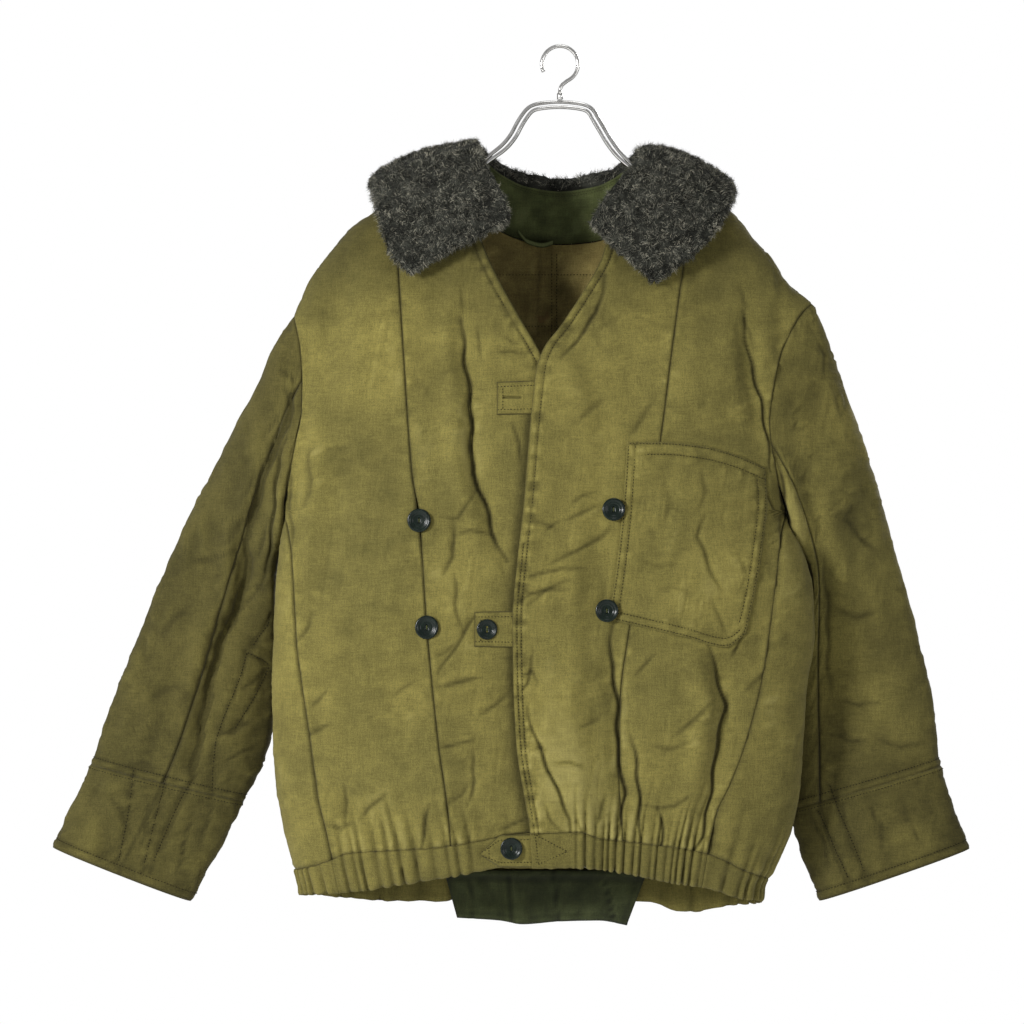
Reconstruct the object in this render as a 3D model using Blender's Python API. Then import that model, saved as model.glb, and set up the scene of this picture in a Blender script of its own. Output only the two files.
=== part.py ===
"""A padded military jacket with a pile collar, hanging open-necked on a two-rod wire hanger.

Lengths in the tables are millimetres. The origin is where a rail carries the hanger's hook, +Z is up,
+X is to the viewer's right of the jacket's front, and the front faces -Y.
"""

import math

import bmesh
import bpy
import numpy as np

MM = 0.001

# Wall thicknesses and clearances
BODY_WALL = 4.0
BAND_WALL = 2.8
CUFF_WALL = 3.6
POCKET_WALL = 2.0
TAB_WALL = 1.6
STAND_WALL = 2.6
FLAP_WALL = 2.6
PILE_WALL = 12.0
PILE_RIM = 7.0
LINING_WALL = 1.2
LINING_COLUMNS = 9
SEAM_GAP = 0.32
LAID_ON_GAP = 0.4
POCKET_GAP = 1.3
COLLAR_GAP = 1.4
SLEEVE_CLEAR = 2.0

# Torso section: a flattened superellipse, rounded over the hanger at the top
SECTION_POWER = 2.6
SLEEVE_POWER = 2.3
SHOULDER_RADIUS = 22.0
SHOULDER_SHARE = 0.45
SHOULDER_FALL = 150.0

# The right front laps over the left front and over the tabs between them
LAP_RAISE = BODY_WALL + TAB_WALL + 3 * LAID_ON_GAP
LAP_PAST_EDGE = 14.0
LAP_FADE = 42.0

# Elastic gathers in the waistband
GATHER_DEPTH = 2.3
PLAIN_LEFT_X = -84.0
PLAIN_RIGHT_X = 8.0

ARMPIT_Z = -487.0
LEVEL_BELOW_Z = -845.0
CENTRE_BACK = 1.5 * math.pi
SIDE_RIGHT = math.pi

# Rows of each torso panel: below the armpit, shares of the way above it, and depths under the shoulder line
ROWS_BELOW = 10
SHARES_ABOVE = (0.05, 0.14, 0.32, 0.54, 0.77)
RIDGE_DROPS = (48.0, 26.0, 12.0, 4.0, 0.0)

BUTTON_SHANK = 0.4
WIRE_RADIUS = 2.0


def table(columns, *rows):
    """A table with named columns, as one array for each name."""
    values = np.array(rows, float)
    return {name: values[:, i] for i, name in enumerate(columns.split())}


def fold(depth, width, lip, *path):
    """A fold along a path of x and z; its lip is the side on which cloth stands over the valley."""
    return {"path": path, "depth": depth, "width": width, "lip": lip}


TORSO = table(
    "z left right front back",
    (-926, -273, 212, 64, 56),
    (-884, -274, 214, 66, 58),
    (-857, -280, 227, 74, 62),
    (-822, -289, 243, 82, 66),
    (-758, -299, 254, 88, 68),
    (-672, -302, 259, 90, 68),
    (-618, -301, 268, 90, 68),
    (-570, -299, 266, 88, 67),
    (-527, -295, 255, 86, 66),
    (-487, -290, 237, 84, 64),
    (-454, -294, 242, 80, 62),
    (-401, -304, 252, 75, 58),
    (-349, -309, 258, 70, 54),
    (-296, -313, 265, 64, 52),
    (-212, -321, 279, 60, 50),
    (-107, -326, 284, 58, 50),
)

# Top line of the shoulders, carried across the neck
RIDGE = table(
    "x z",
    (-304, -317),
    (-280, -281),
    (-262, -243),
    (-247, -222),
    (-232, -202),
    (-218, -187),
    (-194, -172),
    (-168, -158),
    (-136, -142),
    (-113, -128),
    (-63, -118),
    (0, -114),
    (63, -118),
    (109, -128),
    (136, -142),
    (163, -160),
    (184, -176),
    (206, -202),
    (224, -223),
    (237, -244),
    (252, -258),
    (265, -268),
    (289, -307),
)
BACK_TOP = table(
    "x z",
    (-304, -317),
    (-280, -281),
    (-262, -243),
    (-247, -222),
    (-232, -202),
    (-218, -187),
    (-194, -172),
    (-168, -158),
    (-136, -142),
    (-113, -128),
    (-103, -151),
    (-74, -183),
    (-37, -200),
    (0, -204),
    (37, -201),
    (74, -184),
    (99, -151),
    (109, -128),
    (136, -142),
    (163, -160),
    (184, -176),
    (206, -202),
    (224, -223),
    (237, -244),
    (252, -258),
    (265, -268),
    (289, -307),
)
NECK_LEFT = -113.0
NECK_RIGHT = 109.0
NECK_RIDGE_Z = -128.0

# Seams and edges seen from the front
ARMHOLE_LEFT = table(
    "z x", (-487, -290), (-452, -284), (-417, -277), (-381, -271), (-353, -271), (-315, -273),
    (-281, -280)
)
ARMHOLE_RIGHT = table(
    "z x", (-487, 237), (-448, 226), (-418, 222), (-392, 220), (-353, 224), (-322, 231), (-298, 242),
    (-280, 253), (-268, 265)
)
PANEL_SEAM_LEFT = table(
    "z x", (-895, -110), (-837, -113), (-800, -116), (-727, -126), (-606, -138), (-496, -146),
    (-443, -154), (-317, -163), (-244, -168), (-160, -173)
)
PANEL_SEAM_RIGHT = table(
    "z x", (-884, 67), (-821, 64), (-748, 60), (-674, 62), (-606, 71), (-517, 84), (-415, 103),
    (-317, 116), (-212, 130), (-142, 136)
)
SIDE_SEAM_LEFT = table(
    "z x", (-889, -229), (-857, -236), (-821, -243), (-780, -253), (-724, -260), (-665, -269),
    (-612, -276), (-538, -280), (-506, -285), (-487, -290)
)
SIDE_SEAM_RIGHT = table(
    "z x", (-889, 145), (-837, 153), (-797, 163), (-769, 176), (-723, 193), (-652, 211), (-611, 217),
    (-538, 227), (-506, 232), (-487, 237)
)
FRONT_EDGE_LEFT = table(
    "z x", (-895, 19), (-855, 17), (-821, 13), (-758, 2), (-685, -7), (-601, -7), (-538, -2), (-454, 3),
    (-391, 5), (-359, -3),
    (-322, -21), (-286, -42), (-252, -61), (-225, -74), (-207, -81), (-183, -86), (-154, -100),
    (-128, -113)
)
FRONT_EDGE_RIGHT = table(
    "z x", (-895, -30), (-855, -30), (-817, -32), (-779, -38), (-727, -46), (-664, -49), (-601, -50),
    (-538, -45), (-475, -38),
    (-412, -33), (-370, -29), (-338, -25), (-319, -18), (-294, 0), (-262, 21), (-225, 42), (-207, 48),
    (-183, 68), (-154, 94), (-128, 109)
)

# Waist seam and hem, front and back
FRONT_WAIST = table(
    "x z", (-289, -863), (-273, -860), (-242, -850), (-220, -841), (-168, -837), (-136, -835),
    (-84, -827), (-42, -819), (19, -817),
    (42, -824), (87, -830), (130, -836), (165, -846), (194, -861), (236, -876)
)
FRONT_HEM = table(
    "x z", (-289, -890), (-273, -887), (-226, -883), (-168, -874), (-126, -867), (-84, -859),
    (-63, -855), (23, -855), (66, -861),
    (102, -869), (130, -874), (163, -881), (188, -890), (236, -895)
)
BACK_WAIST = table(
    "x z", (-289, -863), (-252, -861), (-175, -863), (0, -865), (94, -865), (141, -874), (184, -874),
    (236, -876)
)
BACK_HEM = table(
    "x z", (-289, -890), (-264, -891), (-229, -895), (-175, -900), (0, -901), (94, -901), (124, -910),
    (141, -911), (163, -907), (184, -903), (236, -895)
)

# Sleeve rings from armhole to hem: outer and inner edge, middle depth behind the hanger, half thickness
SLEEVE_LEFT = table(
    "share outer_x outer_z inner_x inner_z back half",
    (0.00, -280, -281, -290, -487, 0, 46),
    (0.06, -298, -307, -295, -506, 4, 47),
    (0.14, -318, -349, -298, -532, 14, 45),
    (0.25, -346, -403, -299, -569, 27, 41),
    (0.38, -383, -475, -297, -613, 39, 36),
    (0.50, -415, -540, -297, -655, 45, 33),
    (0.62, -444, -611, -300, -697, 45, 31),
    (0.74, -472, -682, -309, -743, 38, 29),
    (0.86, -496, -753, -333, -793, 30, 27),
    (1.00, -536, -840, -388, -898, 22, 25),
)
SLEEVE_RIGHT = table(
    "share outer_x outer_z inner_x inner_z back half",
    (0.00, 265, -268, 237, -487, 0, 46),
    (0.06, 281, -304, 248, -506, 4, 47),
    (0.14, 297, -349, 256, -532, 14, 45),
    (0.25, 317, -405, 260, -571, 28, 41),
    (0.38, 341, -475, 257, -617, 41, 36),
    (0.50, 358, -538, 252, -664, 48, 33),
    (0.62, 377, -606, 248, -710, 50, 31),
    (0.74, 394, -681, 245, -755, 46, 29),
    (0.86, 404, -755, 243, -802, 38, 27),
    (1.00, 434, -842, 273, -898, 28, 25),
)
CUFF_SHARE = 0.86
SLEEVE_BLEND = 0.30
SLEEVE_ROWS = 13
CUFF_ROWS = 2
UPPER_STEPS_LEFT = 5
UPPER_STEPS_RIGHT = 7

# Largest folds of the fronts: valleys, and lips where the cloth on one side stands over the other
FRONT_FOLDS = (
    fold(
        7, 11, -1, (-102, -287), (-99, -333), (-91, -365), (-90, -447), (-79, -472), (-67, -519),
        (-55, -538)
    ),
    fold(6, 20, 0, (-226, -254), (-250, -317), (-260, -370)),
    fold(7, 18, 0, (-229, -408), (-238, -498), (-246, -553), (-265, -600)),
    fold(6, 14, 0, (-249, -765), (-225, -784), (-206, -801), (-191, -821), (-189, -838)),
    fold(8, 12, 0, (55, -622), (51, -652), (59, -684), (61, -738), (67, -791), (61, -815)),
    fold(
        8, 13, -1, (144, -513), (163, -550), (171, -600), (164, -648), (171, -686), (163, -744),
        (153, -791), (141, -832)
    ),
    fold(5, 12, 0, (-38, -684), (-22, -735), (-4, -779), (8, -803)),
    fold(7, 13, 0, (189, -282), (197, -331), (208, -383), (214, -427)),
    fold(5, 17, 0, (166, -412), (163, -454), (155, -496), (146, -520)),
)
BACK_FOLDS = (
    fold(7, 20, 0, (-250, -400), (-215, -470), (-200, -560), (-215, -660)),
    fold(7, 20, 0, (205, -390), (180, -470), (172, -560), (186, -650)),
    fold(6, 16, 0, (-120, -650), (-112, -740), (-128, -830)),
    fold(6, 16, 0, (70, -640), (84, -740), (74, -830)),
    fold(5, 14, 0, (-30, -700), (-22, -770), (-34, -838)),
)
SLEEVE_FOLDS_LEFT = (
    fold(
        9, 12, -1, (-289, -438), (-313, -485), (-330, -525), (-333, -580), (-355, -622), (-373, -685),
        (-383, -745)
    ),
)
SLEEVE_FOLDS_RIGHT = (
    fold(6, 16, 0, (252, -420), (268, -500), (277, -580), (281, -650), (279, -727), (284, -790)),
)

# Pocket outline on the right front
POCKET_TOP = table("x z", (68, -415), (105, -415), (147, -419), (178, -427), (212, -441))
POCKET_BOTTOM = table("x z", (49, -598), (84, -606), (126, -616), (170, -627), (191, -613))
POCKET_LEFT = table("z x", (-598, 49), (-527, 59), (-464, 65), (-415, 68))
POCKET_RIGHT = table("z x", (-613, 191), (-574, 200), (-527, 208), (-475, 214), (-441, 212))
POCKET_COLUMNS, POCKET_ROWS = 9, 9

# Straps that lie between the fronts, as their lower and upper edges; the waist strap is pointed
STRAP_TOP = table("x low high", (-66, -387, -353), (-16, -386, -351))
STRAP_MIDDLE = table("x low high", (-89, -626, -590), (-36, -627, -589))
STRAP_WAIST = table("x low high", (-82, -842, -838), (-63, -854, -820), (-17, -854, -819))

# Quilted flap behind the hem: height of its top and foot, and its two side edges
FLAP = table("z left right", (-925, -107, 72), (-867.5, -123, 94))
FLAP_FOOT = table("x z", (-108, -918), (-63, -921), (-39, -925), (0, -922), (42, -921), (72, -926))
FLAP_ROLL = 5.0

# Collar: where it is sewn on, the rim of its cloth stand, its roll line and its outer edge
COLLAR = table(
    "neck_x neck_z back stand_x stand_y stand_z roll_x roll_y roll_z edge_x edge_y edge_z",
    (-86, -183, 0, -57, -50, -188, -51, -62, -183, -158, -66, -239),
    (-97, -160, 0, -66, -44, -160, -58, -58, -160, -177, -59, -214),
    (-106, -143, 0, -79, -32, -138, -71, -46, -134, -189, -42, -175),
    (-113, -128, 0, -90, -8, -113, -86, -20, -100, -198, -10, -139),
    (-108, -139, 1, -88, 10, -110, -88, 6, -94, -178, 44, -130),
    (-80, -178, 1, -69, 30, -127, -71, 34, -109, -126, 74, -175),
    (-40, -199, 1, -37, 46, -142, -37, 52, -124, -63, 88, -208),
    (0, -204, 1, 0, 52, -147, 0, 58, -129, 0, 92, -216),
    (40, -200, 1, 40, 46, -142, 42, 52, -124, 61, 88, -208),
    (78, -180, 1, 70, 30, -127, 74, 34, -109, 118, 74, -175),
    (103, -141, 1, 85, 10, -114, 89, 6, -99, 163, 42, -134),
    (109, -128, 0, 87, -8, -116, 94, -20, -103, 182, -12, -149),
    (101, -143, 0, 74, -36, -142, 68, -50, -130, 170, -44, -178),
    (88, -162, 0, 54, -48, -166, 44, -60, -160, 142, -62, -214),
    (68, -184, 0, 37, -52, -190, 29, -63, -187, 97, -66, -248),
)
NECK_CENTRE = (-2, 0, -130)

# Buttons: place on the fronts, height of what lies beneath each, and radius
BUTTONS = table(
    "x z over radius",
    (-146, -496, 0.0, 12.2),
    (-138, -606, 0.0, 12.2),
    (54, -485, 3.3, 11.8),
    (47, -589, 3.4, 11.8),
    (-76, -608, 2.0, 10.6),
    (-51, -834, 3.2, 11.4),
)
BUTTON_NAMES = (
    "button_left_upper",
    "button_left_lower",
    "button_right_upper",
    "button_right_lower",
    "button_centre",
    "button_waist",
)
# Section of a button from its back to the middle of its dished face
BUTTON_SECTION = table(
    "share height",
    (0.90, 0.0),
    (1.00, 0.9),
    (1.00, 2.6),
    (0.90, 3.4),
    (0.76, 3.0),
    (0.60, 2.0),
)

COLLAR_COLUMNS = 42
COLLAR_ROWS = 5
BUTTON_SIDES = 14

# Hanging loop: places along it
LOOP = table("x y z", (-44, 38.9, -190), (-34, 36, -201), (-18, 35.5, -205), (-7, 38.6, -202))

# Hanger rod across the open neck, and where it turns back at each end
HANGER_NECK = table(
    "x z",
    (-118, -148),
    (-100, -139),
    (-81, -118),
    (-55, -96),
    (-41, -71),
    (-28, -59),
    (0, -56),
    (30, -60),
    (43, -78),
    (61, -107),
    (94, -137),
    (112, -147),
)
HANGER_LEFT_END = -221.0
HANGER_RIGHT_END = 188.0
HANGER_SPREAD = 9.0
HANGER_UNDER_RIDGE = 11.6
HOOK_RADIUS = 19.0
HOOK_FOOT = -54.1


def follow(source, across, value, at):
    """Smooth value of one column over another without overshoot, level beyond the ends."""
    order = np.argsort(source[across])
    x = source[across][order]
    y = source[value][order]
    step = np.diff(x)
    slope = np.diff(y) / step
    product = slope[:-1] * slope[1:]
    total = np.where(product > 0, slope[:-1] + slope[1:], 1.0)
    tangent = np.concatenate((slope[:1], np.where(product > 0, 2 * product / total, 0.0), slope[-1:]))
    at = np.clip(at, x[0], x[-1])
    cell = np.clip(np.searchsorted(x, at, side="right") - 1, 0, len(step) - 1)
    s = (at - x[cell]) / step[cell]
    start = y[cell] * (1 + 2 * s) + tangent[cell] * step[cell] * s
    end = y[cell + 1] * (3 - 2 * s) + tangent[cell + 1] * step[cell] * (s - 1)
    return start * (1 - s) ** 2 + end * s**2


def smooth(share):
    """Ease from 0 to 1."""
    share = np.clip(share, 0.0, 1.0)
    return share * share * (3 - 2 * share)


def unit(vectors):
    """Vectors of length one."""
    return vectors / np.maximum(np.linalg.norm(vectors, axis=-1, keepdims=True), 1e-9)


def section(z):
    """Middle, half width and the depths before and behind the hanger at a height."""
    left = follow(TORSO, "z", "left", z)
    right = follow(TORSO, "z", "right", z)
    front = follow(TORSO, "z", "front", z)
    back = follow(TORSO, "z", "back", z)
    return (left + right) / 2, (right - left) / 2, front, back


def superellipse(angle, power):
    """Cosine and sine of an angle pushed out to a superellipse."""
    c = np.cos(angle)
    s = np.sin(angle)
    reach = (np.abs(c) ** power + np.abs(s) ** power) ** (-1 / power)
    return c * reach, s * reach


def torso(angle, z):
    """Point on the body's outer face: angle 0 at its left side, then the front, the right and the back."""
    middle, half, front, back = section(z)
    c, s = superellipse(angle, SECTION_POWER)
    x = middle - half * c
    slope = (follow(RIDGE, "x", "z", x + 3) - follow(RIDGE, "x", "z", x - 3)) / 6
    below = np.maximum(follow(RIDGE, "x", "z", x) - z, 0) / np.sqrt(1 + slope**2)
    near = np.clip(below / SHOULDER_RADIUS, 0, 1)
    far = np.clip(below / SHOULDER_FALL, 0, 1)
    share = SHOULDER_SHARE * np.sqrt(1 - (1 - near) ** 2) + (1 - SHOULDER_SHARE) * np.sin(far * math.pi / 2)
    return np.stack(np.broadcast_arrays(x, -np.where(s > 0, front, back) * s * share, z), -1)


def torso_normal(angle, z):
    """Direction out of the body's face."""
    across = torso(angle + 0.004, z) - torso(angle - 0.004, z)
    up = torso(angle, z) - torso(angle, z - 1.0)
    outward = unit(np.cross(across, up))
    outward[..., 2] *= smooth((z - LEVEL_BELOW_Z) / 60)
    return unit(outward)


def angle_at(x, z, behind=False):
    """Angle of the point of the front, or the back, at x."""
    middle, half, _, _ = section(z)
    offset = x - middle
    share = np.clip(np.abs(offset) / half, 1e-4, 1.0)
    turn = np.arctan((share**-SECTION_POWER - 1) ** (1 / SECTION_POWER))
    angle = np.where(offset > 0, math.pi - turn, turn)
    if not behind:
        return angle
    return np.where(offset > 0, 2 * math.pi - angle, -angle)


def fold_relief(folds, x, z):
    """Height of the folds out of the smooth cloth."""
    total = np.zeros(np.broadcast(x, z).shape)
    for fold in folds:
        path = np.array(fold["path"], float)
        lengths = np.linalg.norm(np.diff(path, axis=0), axis=1)
        runs = np.concatenate(((0.0,), np.cumsum(lengths)))
        nearest = np.full(total.shape, 1e9)
        signed = np.zeros(total.shape)
        along = np.zeros(total.shape)
        for start, end, length, run in zip(path[:-1], path[1:], lengths, runs):
            way = (end - start) / length
            step = np.clip((x - start[0]) * way[0] + (z - start[1]) * way[1], 0, length)
            off_x = x - start[0] - way[0] * step
            off_z = z - start[1] - way[1] * step
            distance = np.hypot(off_x, off_z)
            closer = distance < nearest
            nearest = np.where(closer, distance, nearest)
            side = np.where(off_z * way[0] - off_x * way[1] > 0, distance, -distance)
            signed = np.where(closer, side, signed)
            along = np.where(closer, (run + step) / runs[-1], along)
        profile = -np.exp(-((nearest / fold["width"]) ** 2))
        if fold["lip"]:
            past = (signed * fold["lip"] - 1.6 * fold["width"]) / (1.1 * fold["width"])
            profile = profile + 0.8 * np.exp(-(past**2))
        total = total + fold["depth"] * profile * np.sqrt(np.sin(np.clip(along, 0.04, 0.96) * math.pi))
    return total


def lap(x, z):
    """1 where the right front lies over the left one, easing to 0 beyond its hidden edge."""
    past = x - follow(FRONT_EDGE_LEFT, "z", "x", z)
    return 1 - smooth((past - LAP_PAST_EDGE) / (LAP_FADE - LAP_PAST_EDGE))


def under_ridge(x, z):
    """0 on the shoulder line, 1 well below it, so that folds fade out there."""
    return smooth((follow(RIDGE, "x", "z", x) - z) / 60)


def front_height(x, z, right):
    """How far a front stands out from the smooth body; its folds are shallow under the pocket."""
    above_waist = smooth((z - follow(FRONT_WAIST, "x", "z", x)) / 16)
    relief = fold_relief(FRONT_FOLDS, x, z) * under_ridge(x, z) * above_waist
    pocket_side = smooth((x - follow(POCKET_LEFT, "z", "x", z) + 14) / 14)
    pocket_rise = smooth((z - follow(POCKET_BOTTOM, "x", "z", x) + 30) / 22)
    pocket_top = 1 - smooth((z - follow(POCKET_TOP, "x", "z", x)) / 18)
    relief = relief * (1 - 0.85 * pocket_side * pocket_rise * pocket_top)
    if right:
        return LAP_RAISE * lap(x, z) + relief * (1 - lap(x, z))
    hidden = smooth((x - follow(FRONT_EDGE_RIGHT, "z", "x", z) + 16) / 12)
    return np.minimum(relief, 0) * hidden * 0.3 + relief * (1 - hidden)


def back_height(x, z):
    """How far the back stands out from the smooth body."""
    relief = fold_relief(BACK_FOLDS, x, z) * under_ridge(x, z)
    return relief * smooth((z - follow(BACK_WAIST, "x", "z", x)) / 20)


def height_out(angle, z, right=False):
    """Relief at a place on the body, changing from front to back around its sides."""
    x = torso(angle, z)[..., 0]
    share = smooth(0.5 + np.sin(angle) / 0.5)
    return front_height(x, z, right) * share + back_height(x, z) * (1 - share)


def around(front, back, angle, x):
    """A height read from the front's table and the back's, joined at the sides."""
    share = smooth(0.5 + np.sin(angle) / 0.7)
    return follow(front, "x", "z", x) * share + follow(back, "x", "z", x) * (1 - share)


def side_edge(z, right, behind):
    """Angle of the side seam, and of the armhole above the armpit."""
    seam, hole = (SIDE_SEAM_RIGHT, ARMHOLE_RIGHT) if right else (SIDE_SEAM_LEFT, ARMHOLE_LEFT)
    below = angle_at(follow(seam, "z", "x", z), z)
    above = angle_at(follow(hole, "z", "x", z), z, behind)
    side = math.pi if right else 0.0
    return np.where(z > ARMPIT_Z + 0.01, above, np.where(z > ARMPIT_Z - 0.01, side, below))


def seam_edge(source):
    """Angle of a seam or edge of the fronts, as a function of height."""

    def edge(z):
        return angle_at(follow(source, "z", "x", z), z)

    return edge


def hole_edge(right, behind):
    """Angle, at any height, of the edge that runs up a side seam and an armhole."""

    def edge(z):
        return side_edge(z, right, behind)

    return edge


def turned(angle):
    """The same angle at any height."""

    def edge(z):
        return angle + 0 * z

    return edge


def row_heights(foot, head):
    """Heights of a panel's rows, from the waist seam over the armpit to the shoulder."""
    low = [foot + (ARMPIT_Z - foot) * (1 - (1 - j / ROWS_BELOW) ** 1.6) for j in range(ROWS_BELOW + 1)]
    high = head - RIDGE_DROPS[0]
    rise = [ARMPIT_Z + (high - ARMPIT_Z) * share for share in SHARES_ABOVE]
    return np.stack(low + rise + [head - drop for drop in RIDGE_DROPS], -1)


def seam_inset(angle, z):
    """Angle that half a seam gap takes, more near the armpit where seams run almost level."""
    speed = np.linalg.norm(torso(angle + 0.01, z) - torso(angle - 0.01, z), axis=-1) / 0.02
    return SEAM_GAP / 2 / speed * (1 + 7.0 * np.exp(-(((z - ARMPIT_Z + 5) / 19) ** 2)))


def panel_places(start, end, share, head, starts_free=False, ends_free=False):
    """Angles and heights of a panel's grid between two edges, each inset by half a seam gap."""
    share = share[:, None]
    z = np.full((len(share), ROWS_BELOW + 1 + len(SHARES_ABOVE) + len(RIDGE_DROPS)), ARMPIT_Z + 20.0)
    for _ in range(70):
        first = start(z)
        last = end(z)
        first = first + (0 if starts_free else seam_inset(first, z))
        last = last - (0 if ends_free else seam_inset(last, z))
        angle = first + (last - first) * share
        x = torso(angle, z)[..., 0]
        foot = around(FRONT_WAIST, BACK_WAIST, angle, x) + SEAM_GAP / 2
        rows = np.diagonal(row_heights(foot, follow(head, "x", "z", x)), axis1=1, axis2=2)
        z = z + 0.6 * (rows - z)
    return angle, z


def wall_points(angle, z, height, top_x=None):
    """Outer points and inward directions of a wall that stands a height out of the body."""
    outward = torso_normal(angle, z)
    base = torso(angle, z)
    if top_x is not None:
        x = base[:, -1, 0]
        slope = (follow(RIDGE, "x", "z", x + 3) - follow(RIDGE, "x", "z", x - 3)) / 6
        level = unit(np.stack((-slope, 0 * x, 1 + 0 * x), -1))
        shoulder = (x < NECK_LEFT + 0.5) | (x > NECK_RIGHT - 0.5) if top_x == "neck open" else x < 1e9
        outward[shoulder, -1] = level[shoulder]
        base[shoulder, -1, 1] = 0.0
    return base + outward * height[..., None], outward


def armhole_outward(outward, z, right):
    """Directions at an armhole's edge, turned down near the armpit where body and sleeve fold over."""
    down = np.array((0.15 if right else -0.15, 0.0, -0.99))
    share = smooth((z - ARMPIT_Z) / 50)[..., None]
    return unit(down * (1 - share) + outward * share)


def rim(outer_a, inner_a, outer_b, inner_b):
    """Two triangles across a wall's edge, split the same way on both sides of a seam."""
    if outer_a.co.z < outer_b.co.z:
        outer_a, inner_a, outer_b, inner_b = outer_b, inner_b, outer_a, inner_a
    return (outer_a, inner_a, inner_b), (outer_a, inner_b, outer_b)


def shell(name, outer, inner, material, ring=False):
    """A closed wall between two grids of points; a ring joins its last column to its first."""
    columns, rows = outer.shape[:2]
    mesh = bmesh.new()
    faces = []
    sides = []
    for grid in (outer, inner):
        sides.append([[mesh.verts.new(tuple(point * MM)) for point in column] for column in grid])
    last = columns if ring else columns - 1
    for i in range(last):
        k = (i + 1) % columns
        for j in range(rows - 1):
            rise = np.linalg.norm(outer[i, j] - outer[k, j + 1])
            rising = rise < np.linalg.norm(outer[k, j] - outer[i, j + 1])
            for side in sides:
                a, b, c, d = side[i][j], side[k][j], side[k][j + 1], side[i][j + 1]
                faces.extend(((a, b, c), (a, c, d)) if rising else ((a, b, d), (b, c, d)))
        for j in (0, rows - 1):
            faces.extend(rim(sides[0][i][j], sides[1][i][j], sides[0][k][j], sides[1][k][j]))
    if not ring:
        for i in (0, columns - 1):
            for j in range(rows - 1):
                faces.extend(rim(sides[0][i][j], sides[1][i][j], sides[0][i][j + 1], sides[1][i][j + 1]))
    for face in faces:
        mesh.faces.new(face)
    return finish(name, mesh, material)


def finish(name, mesh, material):
    """Turn a mesh outward, put it in the scene and give it its material."""
    bmesh.ops.recalc_face_normals(mesh, faces=mesh.faces)
    bmesh.ops.triangulate(mesh, faces=mesh.faces)
    data = bpy.data.meshes.new(name)
    mesh.to_mesh(data)
    mesh.free()
    data.materials.append(material)
    item = bpy.data.objects.new(name, data)
    bpy.context.scene.collection.objects.link(item)
    return item


def tube(name, path, radius, sides, material, ring=False):
    """A rod of round section along a path, closed into a loop if it is a ring."""
    path = np.array(path, float)
    if ring:
        way = unit(np.roll(path, -1, axis=0) - np.roll(path, 1, axis=0))
    else:
        way = unit(np.gradient(path, axis=0))
    across = unit(np.cross(way, np.array((0.13, 0.96, 0.24))))
    other = np.cross(way, across)
    radius = np.broadcast_to(np.asarray(radius, float), len(path))
    turns = np.arange(sides) * 2 * math.pi / sides
    rings = path[:, None] + radius[:, None, None] * (
        across[:, None] * np.cos(turns)[:, None] + other[:, None] * np.sin(turns)[:, None]
    )
    mesh = bmesh.new()
    verts = [[mesh.verts.new(tuple(point * MM)) for point in row] for row in rings]
    for i in range(len(path) if ring else len(path) - 1):
        k = (i + 1) % len(path)
        for j in range(sides):
            m = (j + 1) % sides
            mesh.faces.new((verts[i][j], verts[k][j], verts[k][m], verts[i][m]))
    if not ring:
        mesh.faces.new(verts[0])
        mesh.faces.new(verts[-1][::-1])
    return finish(name, mesh, material)


def make_material(name, colour, roughness, metallic=0.0):
    """A plain surface for the sub-parts."""
    material = bpy.data.materials.new(name)
    material.use_nodes = True
    shader = material.node_tree.nodes["Principled BSDF"]
    shader.inputs["Base Color"].default_value = (*colour, 1.0)
    shader.inputs["Roughness"].default_value = roughness
    shader.inputs["Metallic"].default_value = metallic
    return material


def body_panel(
    name, start, end, columns, head, right, material, starts_free=False, ends_free=False, hole=None
):
    """One panel of the body, from the waist seam to the shoulder or neck; returns its places."""
    share = np.linspace(0, 1, columns + 1) if isinstance(columns, int) else columns
    angle, z = panel_places(start, end, share, head, starts_free, ends_free)
    height = height_out(angle, z, right)
    behind = head is BACK_TOP
    outer, outward = wall_points(angle, z, height, "neck open" if behind else "shoulder")
    if hole is not None:
        outward[hole, ROWS_BELOW:] = armhole_outward(outward[hole, ROWS_BELOW:], z[hole, ROWS_BELOW:], right)
    inner = outer - BODY_WALL * outward
    drop = 0.7 * SEAM_GAP * smooth((z - ARMPIT_Z + 2) / 2)
    for grid in (outer, inner):
        grid[..., 1] += drop if behind else -drop
    shell(name, outer, inner, material)
    return angle, z


def back_shares(right):
    """Shares of the back's columns, with one at each end of the neck's steep sides."""
    edge = side_edge(np.array(NECK_RIDGE_Z), right, True)
    whole = edge - CENTRE_BACK + (0 if right else 2 * math.pi)
    marks = []
    on_right = ((99.0, -151.0), (NECK_RIGHT, NECK_RIDGE_Z))
    on_left = ((-103.0, -151.0), (NECK_LEFT, NECK_RIDGE_Z))
    for x, z in on_right if right else on_left:
        turn = angle_at(np.array(x), np.array(z), True) - CENTRE_BACK + (0 if right else 2 * math.pi)
        marks.append(float(turn / whole))
    shares = np.concatenate((np.linspace(0, marks[0], 7), np.linspace(marks[1], 1, 12 if right else 10)))
    return 1 - shares[::-1] if right else shares


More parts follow.
